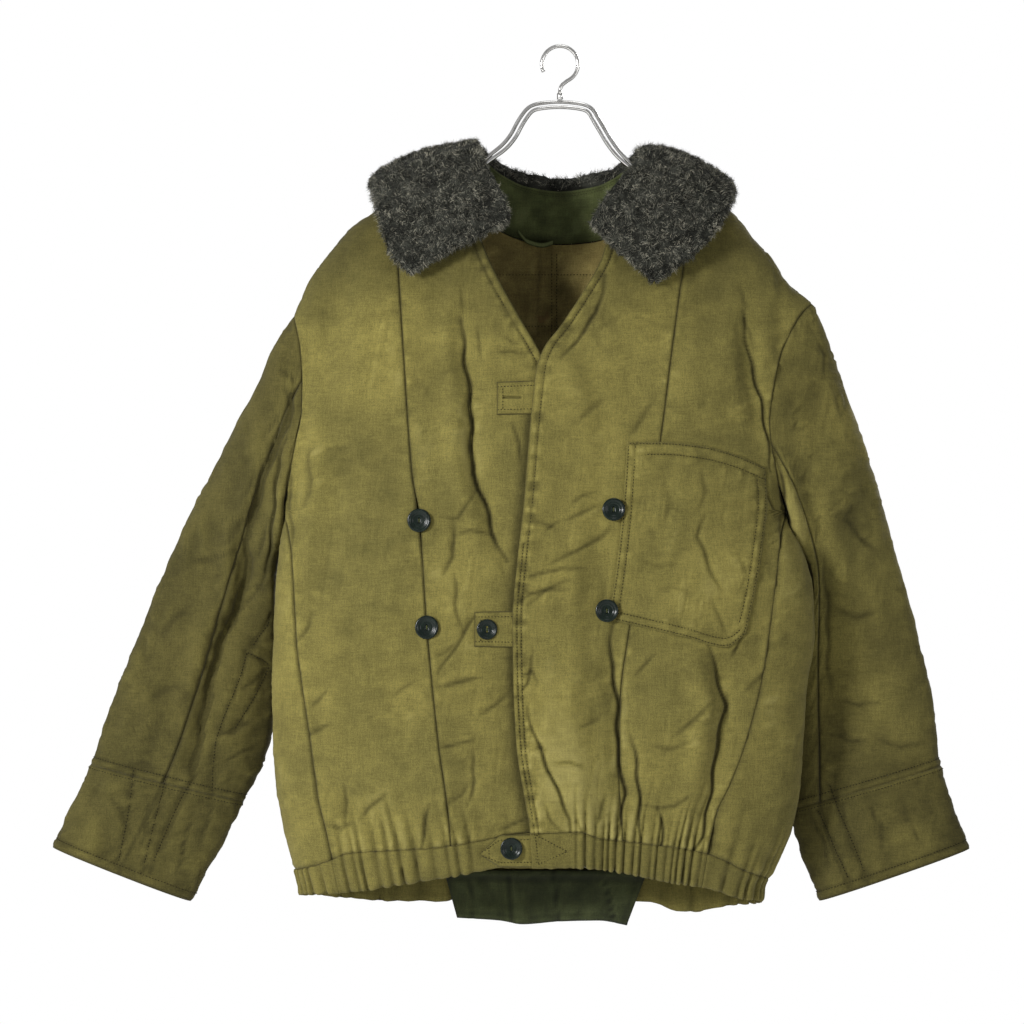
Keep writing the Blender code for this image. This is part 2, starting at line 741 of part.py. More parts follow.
def body(fabric, lining):
    """Fronts, back and the lining that shows through the neck."""
    seam_left = seam_edge(PANEL_SEAM_LEFT)
    seam_right = seam_edge(PANEL_SEAM_RIGHT)
    edge_left = seam_edge(FRONT_EDGE_LEFT)
    edge_right = seam_edge(FRONT_EDGE_RIGHT)
    left_hole = hole_edge(False, False)
    right_hole = hole_edge(True, False)
    places = {
        "side_left": body_panel("front_left_side", left_hole, seam_left, 9, RIDGE, False, fabric, hole=0),
        "left": body_panel(
            "front_left_centre", seam_left, edge_left, 8, RIDGE, False, fabric, ends_free=True
        ),
        "right": body_panel(
            "front_right_centre", edge_right, seam_right, 7, RIDGE, True, fabric, starts_free=True
        ),
        "side_right": body_panel(
            "front_right_side", seam_right, right_hole, 11, RIDGE, True, fabric, hole=-1
        ),
    }
    centre = turned(CENTRE_BACK)
    near = turned(CENTRE_BACK - 2 * math.pi)
    left_side = hole_edge(False, True)
    right_side = hole_edge(True, True)
    shares = back_shares(False)
    places["back_left"] = body_panel("back_left", near, left_side, shares, BACK_TOP, False, fabric, hole=-1)
    shares = back_shares(True)
    places["back_right"] = body_panel("back_right", right_side, centre, shares, BACK_TOP, True, fabric, hole=0)
    for name, (angle, z), pick in (
        ("lining_left", places["back_left"], slice(0, LINING_COLUMNS)),
        ("lining_right", places["back_right"], slice(-LINING_COLUMNS, None)),
    ):
        lining_panel(name, angle[pick], z[pick], lining)
    return places


def lining_panel(name, angle, z, material):
    """Half of the back's lining, from the back's own points moved inward."""
    outer, outward = wall_points(angle, z, back_height(torso(angle, z)[..., 0], z), "neck open")
    outer = outer - (BODY_WALL + LAID_ON_GAP) * outward
    outer[..., 1] += 0.7 * SEAM_GAP
    shell(name, outer, outer - LINING_WALL * outward, material)


def clear_of_body(points, gap):
    """Move points outward until they stand a gap clear of the body."""
    middle, half, front, back = section(points[..., 2])
    rear = points[..., 1] > 0
    depth = np.where(rear, back, front)
    share = np.clip(np.abs(points[..., 1]) / depth, 0, 1)
    reach = half * (1 - share**SECTION_POWER) ** (1 / SECTION_POWER)
    inside = np.abs(points[..., 1]) < depth + gap
    side = np.where(points[..., 0] > middle, 1.0, -1.0)
    needed = middle + side * (reach + gap)
    hits = inside & ((points[..., 0] - needed) * side < 0) & (points[..., 2] < ARMPIT_Z)
    moved = points.copy()
    moved[..., 0] = np.where(hits, needed, points[..., 0])
    return moved


def armhole_ring(right):
    """Outer points and inward directions around an armhole, shoulder to armpit over the front."""
    side = -1.0 if right else 1.0
    hole = ARMHOLE_RIGHT if right else ARMHOLE_LEFT
    heights = np.full(1 + len(SHARES_ABOVE) + len(RIDGE_DROPS), ARMPIT_Z + 20.0)
    for _ in range(70):
        head = follow(RIDGE, "x", "z", follow(hole, "z", "x", heights))
        rows = np.diagonal(row_heights(ARMPIT_Z - 100.0 + 0 * head, head)[:, ROWS_BELOW:])
        heights = heights + 0.6 * (rows - heights)
    rings = []
    for behind in (False, True):
        x = follow(hole, "z", "x", heights)
        angle = angle_at(x, heights, behind)
        angle[0] = math.pi if right else 0.0
        lean = (-1.0 if behind else 1.0) * side
        angle[1:] -= lean * seam_inset(angle, heights)[1:]
        outward = torso_normal(angle, heights)
        height = height_out(angle, heights, right)
        outer = torso(angle, heights) + outward * height[..., None]
        outer[0] += np.array((-0.25 * side, 0.0, 0.9))
        outward = armhole_outward(outward, heights, right)
        slope = (follow(RIDGE, "x", "z", x[-1] + 3) - follow(RIDGE, "x", "z", x[-1] - 3)) / 6
        outward[-1] = unit(np.array((-slope, 0.0, 1.0)))
        outer[-1, 1] = 0.0
        outer[-1, 0] -= 0.2 * side
        rings.append((outer, outward))
    front, back = rings
    outer = np.concatenate((front[0][::-1], back[0][1:-1]))
    outward = np.concatenate((front[1][::-1], back[1][1:-1]))
    return outer, outward


def sleeve_shares(first, last, rows, ease):
    """Shares of the sleeve's length for its rows."""
    return first + (last - first) * (np.arange(rows + 1) / rows) ** ease


def sleeve_tube(lines, share, turn):
    """Point of the smooth sleeve at a share of its length and a turn from its outer edge over the front."""
    outer_x, outer_z, inner_x, inner_z, back, half = (
        follow(lines, "share", name, share)
        for name in ("outer_x", "outer_z", "inner_x", "inner_z", "back", "half")
    )
    c, s = superellipse(turn, SLEEVE_POWER)
    x = (outer_x + inner_x) / 2 + (outer_x - inner_x) / 2 * c
    z = (outer_z + inner_z) / 2 + (outer_z - inner_z) / 2 * c
    return np.stack((x, back - half * s, z), -1)


def sleeve_grid(right, shares):
    """Outer and inner points of the sleeve, one column for each point of the armhole."""
    lines = SLEEVE_RIGHT if right else SLEEVE_LEFT
    folds = SLEEVE_FOLDS_RIGHT if right else SLEEVE_FOLDS_LEFT
    ring, outward = armhole_ring(right)
    count = len(ring)
    half = count // 2
    top, foot = lines["outer_z"][0], lines["inner_z"][0]
    lift = np.clip((ring[:, 2] - foot) / (top - foot) * 2 - 1, -1, 1)
    first = np.arccos(lift)
    first[half + 1 :] = 2 * math.pi - first[half + 1 :]
    seam = math.radians(126 if right else 88)
    step = UPPER_STEPS_RIGHT if right else UPPER_STEPS_LEFT
    marks = (0, step, half, count - step, count)
    turns = (0, seam, math.pi, 2 * math.pi - seam, 2 * math.pi)
    even = np.interp(np.arange(count + 1), marks, turns)[:-1]
    blend = smooth(shares / SLEEVE_BLEND)
    turn = first[:, None] + (even - first)[:, None] * blend
    share = np.broadcast_to(shares, turn.shape)
    points = sleeve_tube(lines, share, turn)
    start = ring - sleeve_tube(lines, np.zeros(count), first)
    points = points + start[:, None] * (1 - blend)[:, None]
    facing = np.clip(np.sin(turn), 0, 1) ** 0.5
    relief = fold_relief(folds, points[..., 0], points[..., 2]) * facing * smooth(shares / 0.2)
    points[..., 1] -= relief
    points[:, 1:] = clear_of_body(points[:, 1:], SLEEVE_CLEAR)
    down = np.gradient(points, axis=1)
    round_ = np.roll(points, -1, axis=0) - np.roll(points, 1, axis=0)
    normal = unit(np.cross(round_, down) if right else np.cross(down, round_))
    normal = unit(normal + 0.5 * (np.roll(normal, 1, axis=0) + np.roll(normal, -1, axis=0)))
    normal[:, 0] = outward
    return points, normal


def nudge(grid, edge, neighbour):
    """Draw an edge of a grid in by half a seam gap."""
    grid[edge] += unit(grid[neighbour] - grid[edge]) * SEAM_GAP / 2


def sleeve(side, right, fabric):
    """Upper and under sleeve and the cuff."""
    arm = sleeve_shares(0.0, CUFF_SHARE, SLEEVE_ROWS, 1.35)
    cuff = sleeve_shares(CUFF_SHARE, 1.0, CUFF_ROWS, 1.0)[1:]
    outer, normal = sleeve_grid(right, np.concatenate((arm, cuff)))
    inner = outer - BODY_WALL * normal
    step = UPPER_STEPS_RIGHT if right else UPPER_STEPS_LEFT
    order = np.arange(len(outer))
    under = order[step : len(outer) - step + 1]
    upper = np.concatenate((order[len(outer) - step :], order[: step + 1]))
    last = SLEEVE_ROWS
    for name, pick in ((f"sleeve_{side}_upper", upper), (f"sleeve_{side}_under", under)):
        walls = [outer[pick][:, : last + 1].copy(), inner[pick][:, : last + 1].copy()]
        for grid in walls:
            nudge(grid, 0, 1)
            nudge(grid, -1, -2)
            nudge(grid, (slice(None), -1), (slice(None), -2))
        shell(name, walls[0], walls[1], fabric)
    walls = [outer[:, last:].copy(), (outer - CUFF_WALL * normal)[:, last:].copy()]
    for grid in walls:
        nudge(grid, (slice(None), 0), (slice(None), 1))
    shell(f"cuff_{side}", walls[0], walls[1], fabric, ring=True)


def band(name, start_angle, end_angle, waves, feet, right, plain, fabric, free_start, free_end):
    """One piece of the gathered waistband; gathers fade out where a strap or edge holds it flat."""
    columns = 2 * waves
    share = np.linspace(0, 1, columns + 1)[:, None]
    level = np.array((0.0, 0.5, 1.0))[None]
    z = np.full((columns + 1, 3), -870.0)
    for _ in range(60):
        first = start_angle(z) + (0 if free_start else 0.0007)
        last = end_angle(z) - (0 if free_end else 0.0007)
        angle = first + (last - first) * share
        x = torso(angle, z)[..., 0]
        head = np.interp(angle, *feet) - SEAM_GAP * (1 + 2.0 * smooth(2.4 - 2.2 * np.abs(np.sin(angle))))
        foot = around(FRONT_HEM, BACK_HEM, angle, x)
        z = z + 0.6 * (foot + (head - foot) * level - z)
    x = torso(angle, z)[..., 0]
    crest = np.where(np.arange(columns + 1) % 2, 1.0, -1.0)[:, None] * GATHER_DEPTH / 2 * (1 - 0.45 * level)
    shelter = 0.0
    if plain is not None:
        shelter = 1 - smooth((x - plain) / 14) if right else smooth((x - plain + 14) / 14)
    ends = smooth(np.minimum(share, 1 - share) * columns / 2)
    height = crest * (1 - shelter) * ends
    if right:
        height = height + LAP_RAISE * lap(x, z) * np.clip(np.sin(angle) * 9, 0, 1)
    outer, outward = wall_points(angle, z, height)
    shell(name, outer, outer - BAND_WALL * outward, fabric)


def bands(places, fabric):
    """Waistband in three pieces."""
    left_side = seam_edge(SIDE_SEAM_LEFT)
    right_side = seam_edge(SIDE_SEAM_RIGHT)
    turn = 2 * math.pi

    def feet(*names):
        """Foot line of the panels above a piece, as angles and heights."""
        angles = np.concatenate([places[name][0][:, 0] + shift for name, shift in names])
        heights = np.concatenate([places[name][1][:, 0] for name, _ in names])
        return angles, heights

    front_left = feet(("side_left", 0), ("left", 0))
    front_right = feet(("right", 0), ("side_right", 0))
    back = feet(("back_right", 0), ("back_left", turn))
    edge_left = seam_edge(FRONT_EDGE_LEFT)
    edge_right = seam_edge(FRONT_EDGE_RIGHT)

    def left_end(z):
        return left_side(z) + turn

    band("band_left", left_side, edge_left, 18, front_left, False, PLAIN_LEFT_X, fabric, False, True)
    band("band_right", edge_right, right_side, 17, front_right, True, PLAIN_RIGHT_X, fabric, True, False)
    band("band_back", right_side, left_end, 44, back, False, None, fabric, False, False)


def on_front(x, z, right, offset):
    """Point a distance above the front's cloth, with the direction out of it."""
    angle = angle_at(x, z)
    outward = torso_normal(angle, z)
    return torso(angle, z) + outward * (front_height(x, z, right) + offset)[..., None], outward


def pocket(fabric):
    """Large slanted patch pocket on the right front."""
    across = np.linspace(0, 1, POCKET_COLUMNS + 1)[:, None]
    up = np.linspace(0, 1, POCKET_ROWS + 1)[None]
    x = np.full((POCKET_COLUMNS + 1, POCKET_ROWS + 1), 130.0)
    z = np.full(x.shape, -520.0)
    for _ in range(60):
        left = follow(POCKET_LEFT, "z", "x", z)
        right = follow(POCKET_RIGHT, "z", "x", z)
        low = follow(POCKET_BOTTOM, "x", "z", x)
        high = follow(POCKET_TOP, "x", "z", x)
        x = x + 0.6 * (left + (right - left) * across - x)
        z = z + 0.6 * (low + (high - low) * up - z)
    inner, outward = on_front(x, z, True, POCKET_GAP + 0 * x)
    shell("pocket", inner + outward * POCKET_WALL, inner, fabric)


def strap(name, shape, fabric):
    """A strap that comes out from beneath the right front and lies on the left one."""
    x = np.linspace(shape["x"].min(), shape["x"].max(), 7)[:, None]
    if len(shape["x"]) > 2:
        x[1] = shape["x"][1]
    level = np.linspace(0, 1, 4)[None]
    low = follow(shape, "x", "low", x)
    high = follow(shape, "x", "high", x)
    z = low + (high - low) * level
    inner, outward = on_front(x + 0 * z, z, False, LAID_ON_GAP + 0 * z)
    shell(name, inner + outward * TAB_WALL, inner, fabric)


def button(index, name, plastic):
    """A dished round button facing out of the cloth beneath it."""
    x, z = (np.array(BUTTONS[key][index]) for key in ("x", "z"))
    centre, outward = on_front(x, z, False, BUTTONS["over"][index] + BUTTON_SHANK)
    across = unit(np.cross((0.0, 0.0, 1.0), outward))
    up = np.cross(outward, across)
    turns = np.arange(BUTTON_SIDES) * 2 * math.pi / BUTTON_SIDES
    spoke = across * np.cos(turns)[:, None] + up * np.sin(turns)[:, None]
    mesh = bmesh.new()
    rings = []
    for share, height in zip(BUTTON_SECTION["share"], BUTTON_SECTION["height"]):
        ring = centre + spoke * share * BUTTONS["radius"][index] + outward * height
        rings.append([mesh.verts.new(tuple(point * MM)) for point in ring])
    for low, high in zip(rings[:-1], rings[1:]):
        for j in range(BUTTON_SIDES):
            k = (j + 1) % BUTTON_SIDES
            mesh.faces.new((low[j], low[k], high[k], high[j]))
    mesh.faces.new(rings[0])
    mesh.faces.new(rings[-1][::-1])
    finish(name, mesh, plastic)


def flap(fabric):
    """Quilted flap that hangs inside the back hem, rolled over along its top."""
    share = np.linspace(0, 1, 15)[:, None]
    level = np.array((0.0, 0.35, 0.7, 0.9, 1.0))[None]
    z = np.full((15, 5), -890.0)
    for _ in range(40):
        left = follow(FLAP, "z", "left", z)
        right = follow(FLAP, "z", "right", z)
        x = left + (right - left) * share
        foot = follow(FLAP_FOOT, "x", "z", x)
        z = z + 0.6 * (foot + (FLAP["z"].max() - foot) * level - z)
    angle = angle_at(x, z, True)
    outward = torso_normal(angle, z)
    outer = torso(angle, z) - outward * (BAND_WALL + GATHER_DEPTH / 2 + 0.6)
    thick = FLAP_WALL + (FLAP_ROLL - FLAP_WALL) * smooth((level - 0.7) / 0.2)
    shell("inner_flap", outer, outer - outward * (thick + 0 * z)[..., None], fabric)


def collar_line(name, at):
    """Points of one of the collar's lines at places along it."""
    row = {"row": np.arange(len(COLLAR["back"]), dtype=float)}
    columns = []
    for axis in "xyz":
        key = f"{name}_{axis}"
        columns.append(follow(row | {key: COLLAR[key]}, "row", key, at))
    return np.stack(columns, -1)


def neck_line(at):
    """Points of the neck's edge on the body's outer face, with the directions out of it."""
    row = {"row": np.arange(len(COLLAR["back"]), dtype=float), **COLLAR}
    x = follow(row, "row", "neck_x", at)
    z = follow(row, "row", "neck_z", at)
    last = len(COLLAR["back"]) - 1
    behind = (at > 3) & (at < last - 3)
    x = np.where(at >= last - 3, follow(FRONT_EDGE_RIGHT, "z", "x", z), x)
    x = np.where(at <= 3, follow(FRONT_EDGE_LEFT, "z", "x", z), x)
    z = np.where(behind, follow(BACK_TOP, "x", "z", x), z)
    angle = np.where(behind, angle_at(x, z, True), angle_at(x, z))
    outward = torso_normal(angle, z)
    points = torso(angle, z)
    crown = np.abs(z - follow(RIDGE, "x", "z", x)) < 3
    points[crown, 1] = 0.0
    outward[crown] = np.array((0.0, 0.0, 1.0))
    return points, outward


def collar(pile, cloth):
    """Cloth stand round the neck and the pile fall spread over the shoulders."""
    last = len(COLLAR["back"]) - 1
    at = np.linspace(0, last, COLLAR_COLUMNS + 1)
    neck, outward = neck_line(at)
    centre = np.array(NECK_CENTRE, float)
    foot = neck + unit(centre - neck) * COLLAR_GAP - outward * 0.7
    top = collar_line("stand", at)
    towards = centre - top
    towards[:, 2] = 0.0
    share = np.linspace(0, 1, 4)[None, :, None]
    outer = foot[:, None] + (top - foot)[:, None] * share
    inside = unit(-outward[:, None] * (1 - share) + unit(towards)[:, None] * share)
    shell("collar_stand", outer, outer + inside * STAND_WALL, cloth)
    roll = collar_line("roll", at)
    edge = collar_line("edge", at)
    seat = top + unit(roll - top) * 0.7
    start = (roll + seat) / 2
    share = np.linspace(0, 1, COLLAR_ROWS + 1)[None, :, None]
    middle = start[:, None] + (edge - start)[:, None] * share
    normal = unit(np.cross(np.gradient(middle, axis=0), np.gradient(middle, axis=1)))
    away = (0.0, 0.0, 1.0) + (middle - centre) * (1, 1, 0)
    normal *= np.sign((normal * away).sum(-1, keepdims=True))
    middle = middle + normal * 7 * np.sin(share * math.pi)
    half = PILE_WALL / 2 - (PILE_WALL - PILE_RIM) / 2 * share**3
    rim = (roll - seat)[:, None] / 2
    ease = smooth(share / 0.25)
    reach = rim * (1 - ease) + normal * half * ease
    outer = middle + reach
    inner = middle - reach
    shift = lift_clear(inner, 1.5)
    outer[..., 1] += shift
    inner[..., 1] += shift
    shell("collar_fall", outer, inner, pile)


def lift_clear(points, gap):
    """Distance before or behind by which points must move to stand clear of the body."""
    x, y, z = points[..., 0], points[..., 1], points[..., 2]
    behind = y > 0
    angle = np.where(behind, angle_at(x, z, True), angle_at(x, z))
    surface = torso(angle, z)[..., 1]
    below = z < follow(RIDGE, "x", "z", x) + gap
    back = np.maximum(surface + gap - y, 0)
    front = np.minimum(surface - gap - y, 0)
    return np.where(below, np.where(behind, back, front), 0.0)


def hanging_loop(cloth):
    """Slack loop inside the back of the neck."""
    x = np.linspace(LOOP["x"].min(), LOOP["x"].max(), 9)
    z = follow(LOOP, "x", "z", x)
    y = follow(LOOP, "x", "y", x)
    outer = np.stack([np.stack((x, y, z + side), -1) for side in (-2.5, 2.5)], 1)
    shell("hanging_loop", outer, outer + np.array((0.0, -1.3, 0.0)), cloth)


def hanger(metal):
    """Closed loop of rod inside the shoulders, and the hook above it."""
    rows = np.linspace(0, len(HANGER_NECK["x"]) - 1, 25)
    row = {"row": np.arange(len(HANGER_NECK["x"]), dtype=float), **HANGER_NECK}
    neck = np.stack((follow(row, "row", "x", rows), follow(row, "row", "z", rows)), -1)
    left = np.linspace(HANGER_LEFT_END, neck[0, 0], 9)[:-1]
    right = np.linspace(neck[-1, 0], HANGER_RIGHT_END, 7)[1:]
    sides = []
    for x in (left, right):
        slope = (follow(RIDGE, "x", "z", x + 6) - follow(RIDGE, "x", "z", x - 6)) / 12
        z = follow(RIDGE, "x", "z", x) - HANGER_UNDER_RIDGE * np.sqrt(1 + slope**2)
        sides.append(np.stack((x, z), -1))
    line = np.concatenate((sides[0], neck, sides[1]))
    way = unit(np.gradient(line, axis=0))
    neckness = smooth(1 - (np.abs(line[:, 0] + 2) - 60) / 50)
    inward = np.stack((way[:, 1], -way[:, 0]), -1)
    spread = HANGER_SPREAD / 2 + HANGER_SPREAD / 2 * smooth((np.abs(line[:, 0]) - 60) / 75)
    front = line + inward * 6.3 * neckness[:, None]
    rods = []
    for path, side in ((front, -1), (line[::-1], 1)):
        depth = spread if side < 0 else spread[::-1]
        rods.append(np.stack((path[:, 0], side * depth, path[:, 1]), -1))
    ends = []
    for x, z, sign in ((HANGER_RIGHT_END, line[-1, 1], 1), (HANGER_LEFT_END, line[0, 1], -1)):
        turns = np.radians((-60, -30, 0, 30, 60))
        bulge = HANGER_SPREAD * 0.9 * np.cos(turns)
        ends.append(np.stack((x + sign * bulge, sign * HANGER_SPREAD * np.sin(turns), z - 0.75 * bulge), -1))
    whole = np.concatenate((rods[0], ends[0], rods[1], ends[1]))
    tube("hanger_frame", whole, WIRE_RADIUS, 6, metal, ring=True)
    turns = np.radians(np.linspace(-66, 205, 22))
    top = WIRE_RADIUS - HOOK_RADIUS
    arc = np.stack((HOOK_RADIUS * np.cos(turns), 0 * turns, top + HOOK_RADIUS * np.sin(turns)), -1)
    stem = np.array(((0, 0, HOOK_FOOT), (0, 0, -47.4), (0, 0, -47.0), (0.2, 0, -43.5), (2.4, 0, -38.6)))
    radius = np.concatenate(((3.2, 3.2), np.full(len(arc) + 3, WIRE_RADIUS)))
    tube("hanger_hook", np.concatenate((stem, arc)), radius, 8, metal)


def main():
    """Clear the scene and build every sub-part."""
    for item in list(bpy.data.objects):
        bpy.data.objects.remove(item)
    fabric = make_material("olive_cotton", (0.245, 0.205, 0.066), 0.85)
    lining = make_material("khaki_lining", (0.110, 0.088, 0.028), 0.85)
    pile = make_material("grey_pile", (0.040, 0.041, 0.032), 0.95)
    green = make_material("dark_green_cotton", (0.040, 0.046, 0.022), 0.85)
    quilt = make_material("dark_green_quilting", (0.022, 0.025, 0.010), 0.7)
    plastic = make_material("black_green_plastic", (0.013, 0.021, 0.014), 0.3)
    steel = make_material("bright_steel", (0.70, 0.70, 0.70), 0.18, 1.0)
    places = body(fabric, lining)
    sleeve("left", False, fabric)
    sleeve("right", True, fabric)
    bands(places, fabric)
    pocket(fabric)
    strap("strap_top", STRAP_TOP, fabric)
    strap("strap_middle", STRAP_MIDDLE, fabric)
    strap("strap_waist", STRAP_WAIST, fabric)
    for index, name in enumerate(BUTTON_NAMES):
        button(index, name, plastic)
    flap(quilt)
    collar(pile, green)
    hanging_loop(green)
    hanger(steel)


main()
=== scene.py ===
"""The military jacket dressed for its photograph: padded cotton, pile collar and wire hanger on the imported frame."""

import math

import bpy
import numpy as np
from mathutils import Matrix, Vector


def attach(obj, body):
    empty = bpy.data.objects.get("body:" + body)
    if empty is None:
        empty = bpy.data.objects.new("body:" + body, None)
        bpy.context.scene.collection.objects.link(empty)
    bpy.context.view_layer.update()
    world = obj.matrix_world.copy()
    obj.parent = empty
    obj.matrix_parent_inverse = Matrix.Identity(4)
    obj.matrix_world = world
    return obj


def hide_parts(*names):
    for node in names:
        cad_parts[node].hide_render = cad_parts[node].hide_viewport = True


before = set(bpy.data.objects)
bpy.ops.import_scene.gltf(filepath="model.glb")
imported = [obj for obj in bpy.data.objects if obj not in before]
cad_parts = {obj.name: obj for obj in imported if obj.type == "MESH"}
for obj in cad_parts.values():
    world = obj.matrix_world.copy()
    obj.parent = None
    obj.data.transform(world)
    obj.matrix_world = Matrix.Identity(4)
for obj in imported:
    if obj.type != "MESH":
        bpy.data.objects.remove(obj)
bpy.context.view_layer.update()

OLIVE = (0.172, 0.147, 0.038)
OLIVE_DARK = (0.110, 0.096, 0.026)
OLIVE_WORN = (0.26, 0.229, 0.090)
MM_A_PIXEL = 1.05
HOOK_PIXEL = (560, 48)

MM = 0.001

# Wall thicknesses and clearances
BODY_WALL = 4.0
BAND_WALL = 2.8
CUFF_WALL = 3.6
POCKET_WALL = 2.0
TAB_WALL = 1.6
STAND_WALL = 2.6
FLAP_WALL = 2.6
PILE_WALL = 12.0
PILE_RIM = 7.0
LINING_WALL = 1.2
SEAM_GAP = 0.32
LAID_ON_GAP = 0.4
POCKET_GAP = 1.3
COLLAR_GAP = 1.4
SLEEVE_CLEAR = 2.0

# Torso section: a flattened superellipse, rounded over the hanger at the top
SECTION_POWER = 2.6
SLEEVE_POWER = 2.3
SHOULDER_RADIUS = 22.0
SHOULDER_SHARE = 0.45
SHOULDER_FALL = 150.0

# The right front laps over the left front and over the tabs between them
LAP_RAISE = BODY_WALL + TAB_WALL + 3 * LAID_ON_GAP
LAP_PAST_EDGE = 14.0
LAP_FADE = 42.0

# Elastic gathers in the waistband
GATHER_DEPTH = 2.3
PLAIN_LEFT_X = -84.0
PLAIN_RIGHT_X = 8.0

ARMPIT_Z = -487.0
LEVEL_BELOW_Z = -845.0
CENTRE_BACK = 1.5 * math.pi

# Rows of each torso panel: below the armpit, shares of the way above it, and depths under the shoulder line
ROWS_BELOW = 10
SHARES_ABOVE = (0.05, 0.14, 0.32, 0.54, 0.77)
RIDGE_DROPS = (48.0, 26.0, 12.0, 4.0, 0.0)

BUTTON_SHANK = 0.4
WIRE_RADIUS = 2.0


def table(columns, *rows):
    """A table with named columns, as one array for each name."""
    values = np.array(rows, float)
    return {name: values[:, i] for i, name in enumerate(columns.split())}


def fold(depth, width, lip, *path):
    """A large fold: its line, its depth and width, and the side that stands over the other."""
    return {"path": path, "depth": depth, "width": width, "lip": lip}


TORSO = table(
    "z left right front back",
    (-926, -273, 212, 64, 56), (-884, -274, 214, 66, 58), (-857, -280, 227, 74, 62),
    (-822, -289, 243, 82, 66), (-758, -299, 254, 88, 68), (-672, -302, 259, 90, 68),
    (-618, -301, 268, 90, 68), (-570, -299, 266, 88, 67), (-527, -295, 255, 86, 66),
    (-487, -290, 237, 84, 64), (-454, -294, 242, 80, 62), (-401, -304, 252, 75, 58),
    (-349, -309, 258, 70, 54), (-296, -313, 265, 64, 52), (-212, -321, 279, 60, 50),
    (-107, -326, 284, 58, 50),
)

# Top line of the shoulders, carried across the neck
SHOULDER_LEFT = (
    (-304, -317), (-280, -281), (-262, -243), (-247, -222), (-232, -202), (-218, -187), (-194, -172),
    (-168, -158), (-136, -142), (-113, -128),
)
SHOULDER_RIGHT = (
    (109, -128), (136, -142), (163, -160), (184, -176), (206, -202), (224, -223), (237, -244), (252, -258),
    (265, -268), (289, -307),
)
RIDGE = table("x z", *SHOULDER_LEFT, (-63, -118), (0, -114), (63, -118), *SHOULDER_RIGHT)
BACK_TOP = table(
    "x z", *SHOULDER_LEFT,
    (-103, -151), (-74, -183), (-37, -200), (0, -204), (37, -201), (74, -184), (99, -151),
    *SHOULDER_RIGHT,
)
NECK_LEFT = -113.0
NECK_RIGHT = 109.0

# Seams and edges seen from the front
ARMHOLE_LEFT = table(
    "z x", (-487, -290), (-452, -284), (-417, -277), (-381, -271), (-353, -271), (-315, -273), (-281, -280),
)
ARMHOLE_RIGHT = table(
    "z x", (-487, 237), (-448, 226), (-418, 222), (-392, 220), (-353, 224), (-322, 231), (-298, 242),
    (-280, 253), (-268, 265),
)
PANEL_SEAM_LEFT = table(
    "z x", (-895, -110), (-837, -113), (-800, -116), (-727, -126), (-606, -138), (-496, -146), (-443, -154),
    (-317, -163), (-244, -168), (-160, -173),
)
PANEL_SEAM_RIGHT = table(
    "z x", (-884, 67), (-821, 64), (-748, 60), (-674, 62), (-606, 71), (-517, 84), (-415, 103), (-317, 116),
    (-212, 130), (-142, 136),
)
SIDE_SEAM_LEFT = table(
    "z x", (-889, -229), (-857, -236), (-821, -243), (-780, -253), (-724, -260), (-665, -269), (-612, -276),
    (-538, -280), (-506, -285), (-487, -290),
)
SIDE_SEAM_RIGHT = table(
    "z x", (-889, 145), (-837, 153), (-797, 163), (-769, 176), (-723, 193), (-652, 211), (-611, 217),
    (-538, 227), (-506, 232), (-487, 237),
)
FRONT_EDGE_LEFT = table(
    "z x", (-895, 19), (-855, 17), (-821, 13), (-758, 2), (-685, -7), (-601, -7), (-538, -2), (-454, 3),
    (-391, 5), (-359, -3), (-322, -21), (-286, -42), (-252, -61), (-225, -74), (-207, -81), (-183, -86),
    (-154, -100), (-128, -113),
)
FRONT_EDGE_RIGHT = table(
    "z x", (-895, -30), (-855, -30), (-817, -32), (-779, -38), (-727, -46), (-664, -49), (-601, -50),
    (-538, -45), (-475, -38), (-412, -33), (-370, -29), (-338, -25), (-319, -18), (-294, 0), (-262, 21),
    (-225, 42), (-207, 48), (-183, 68), (-154, 94), (-128, 109),
)

# Waist seam and hem, front and back
FRONT_WAIST = table(
    "x z", (-289, -863), (-273, -860), (-242, -850), (-220, -841), (-168, -837), (-136, -835), (-84, -827),
    (-42, -819), (19, -817), (42, -824), (87, -830), (130, -836), (165, -846), (194, -861), (236, -876),
)
FRONT_HEM = table(
    "x z", (-289, -890), (-273, -887), (-226, -883), (-168, -874), (-126, -867), (-84, -859), (-63, -855),
    (23, -855), (66, -861), (102, -869), (130, -874), (163, -881), (188, -890), (236, -895),
)
BACK_WAIST = table(
    "x z", (-289, -863), (-252, -861), (-175, -863), (0, -865), (94, -865), (141, -874), (184, -874), (236, -876),
)
BACK_HEM = table(
    "x z", (-289, -890), (-264, -891), (-229, -895), (-175, -900), (0, -901), (94, -901), (124, -910),
    (141, -911), (163, -907), (184, -903), (236, -895),
)

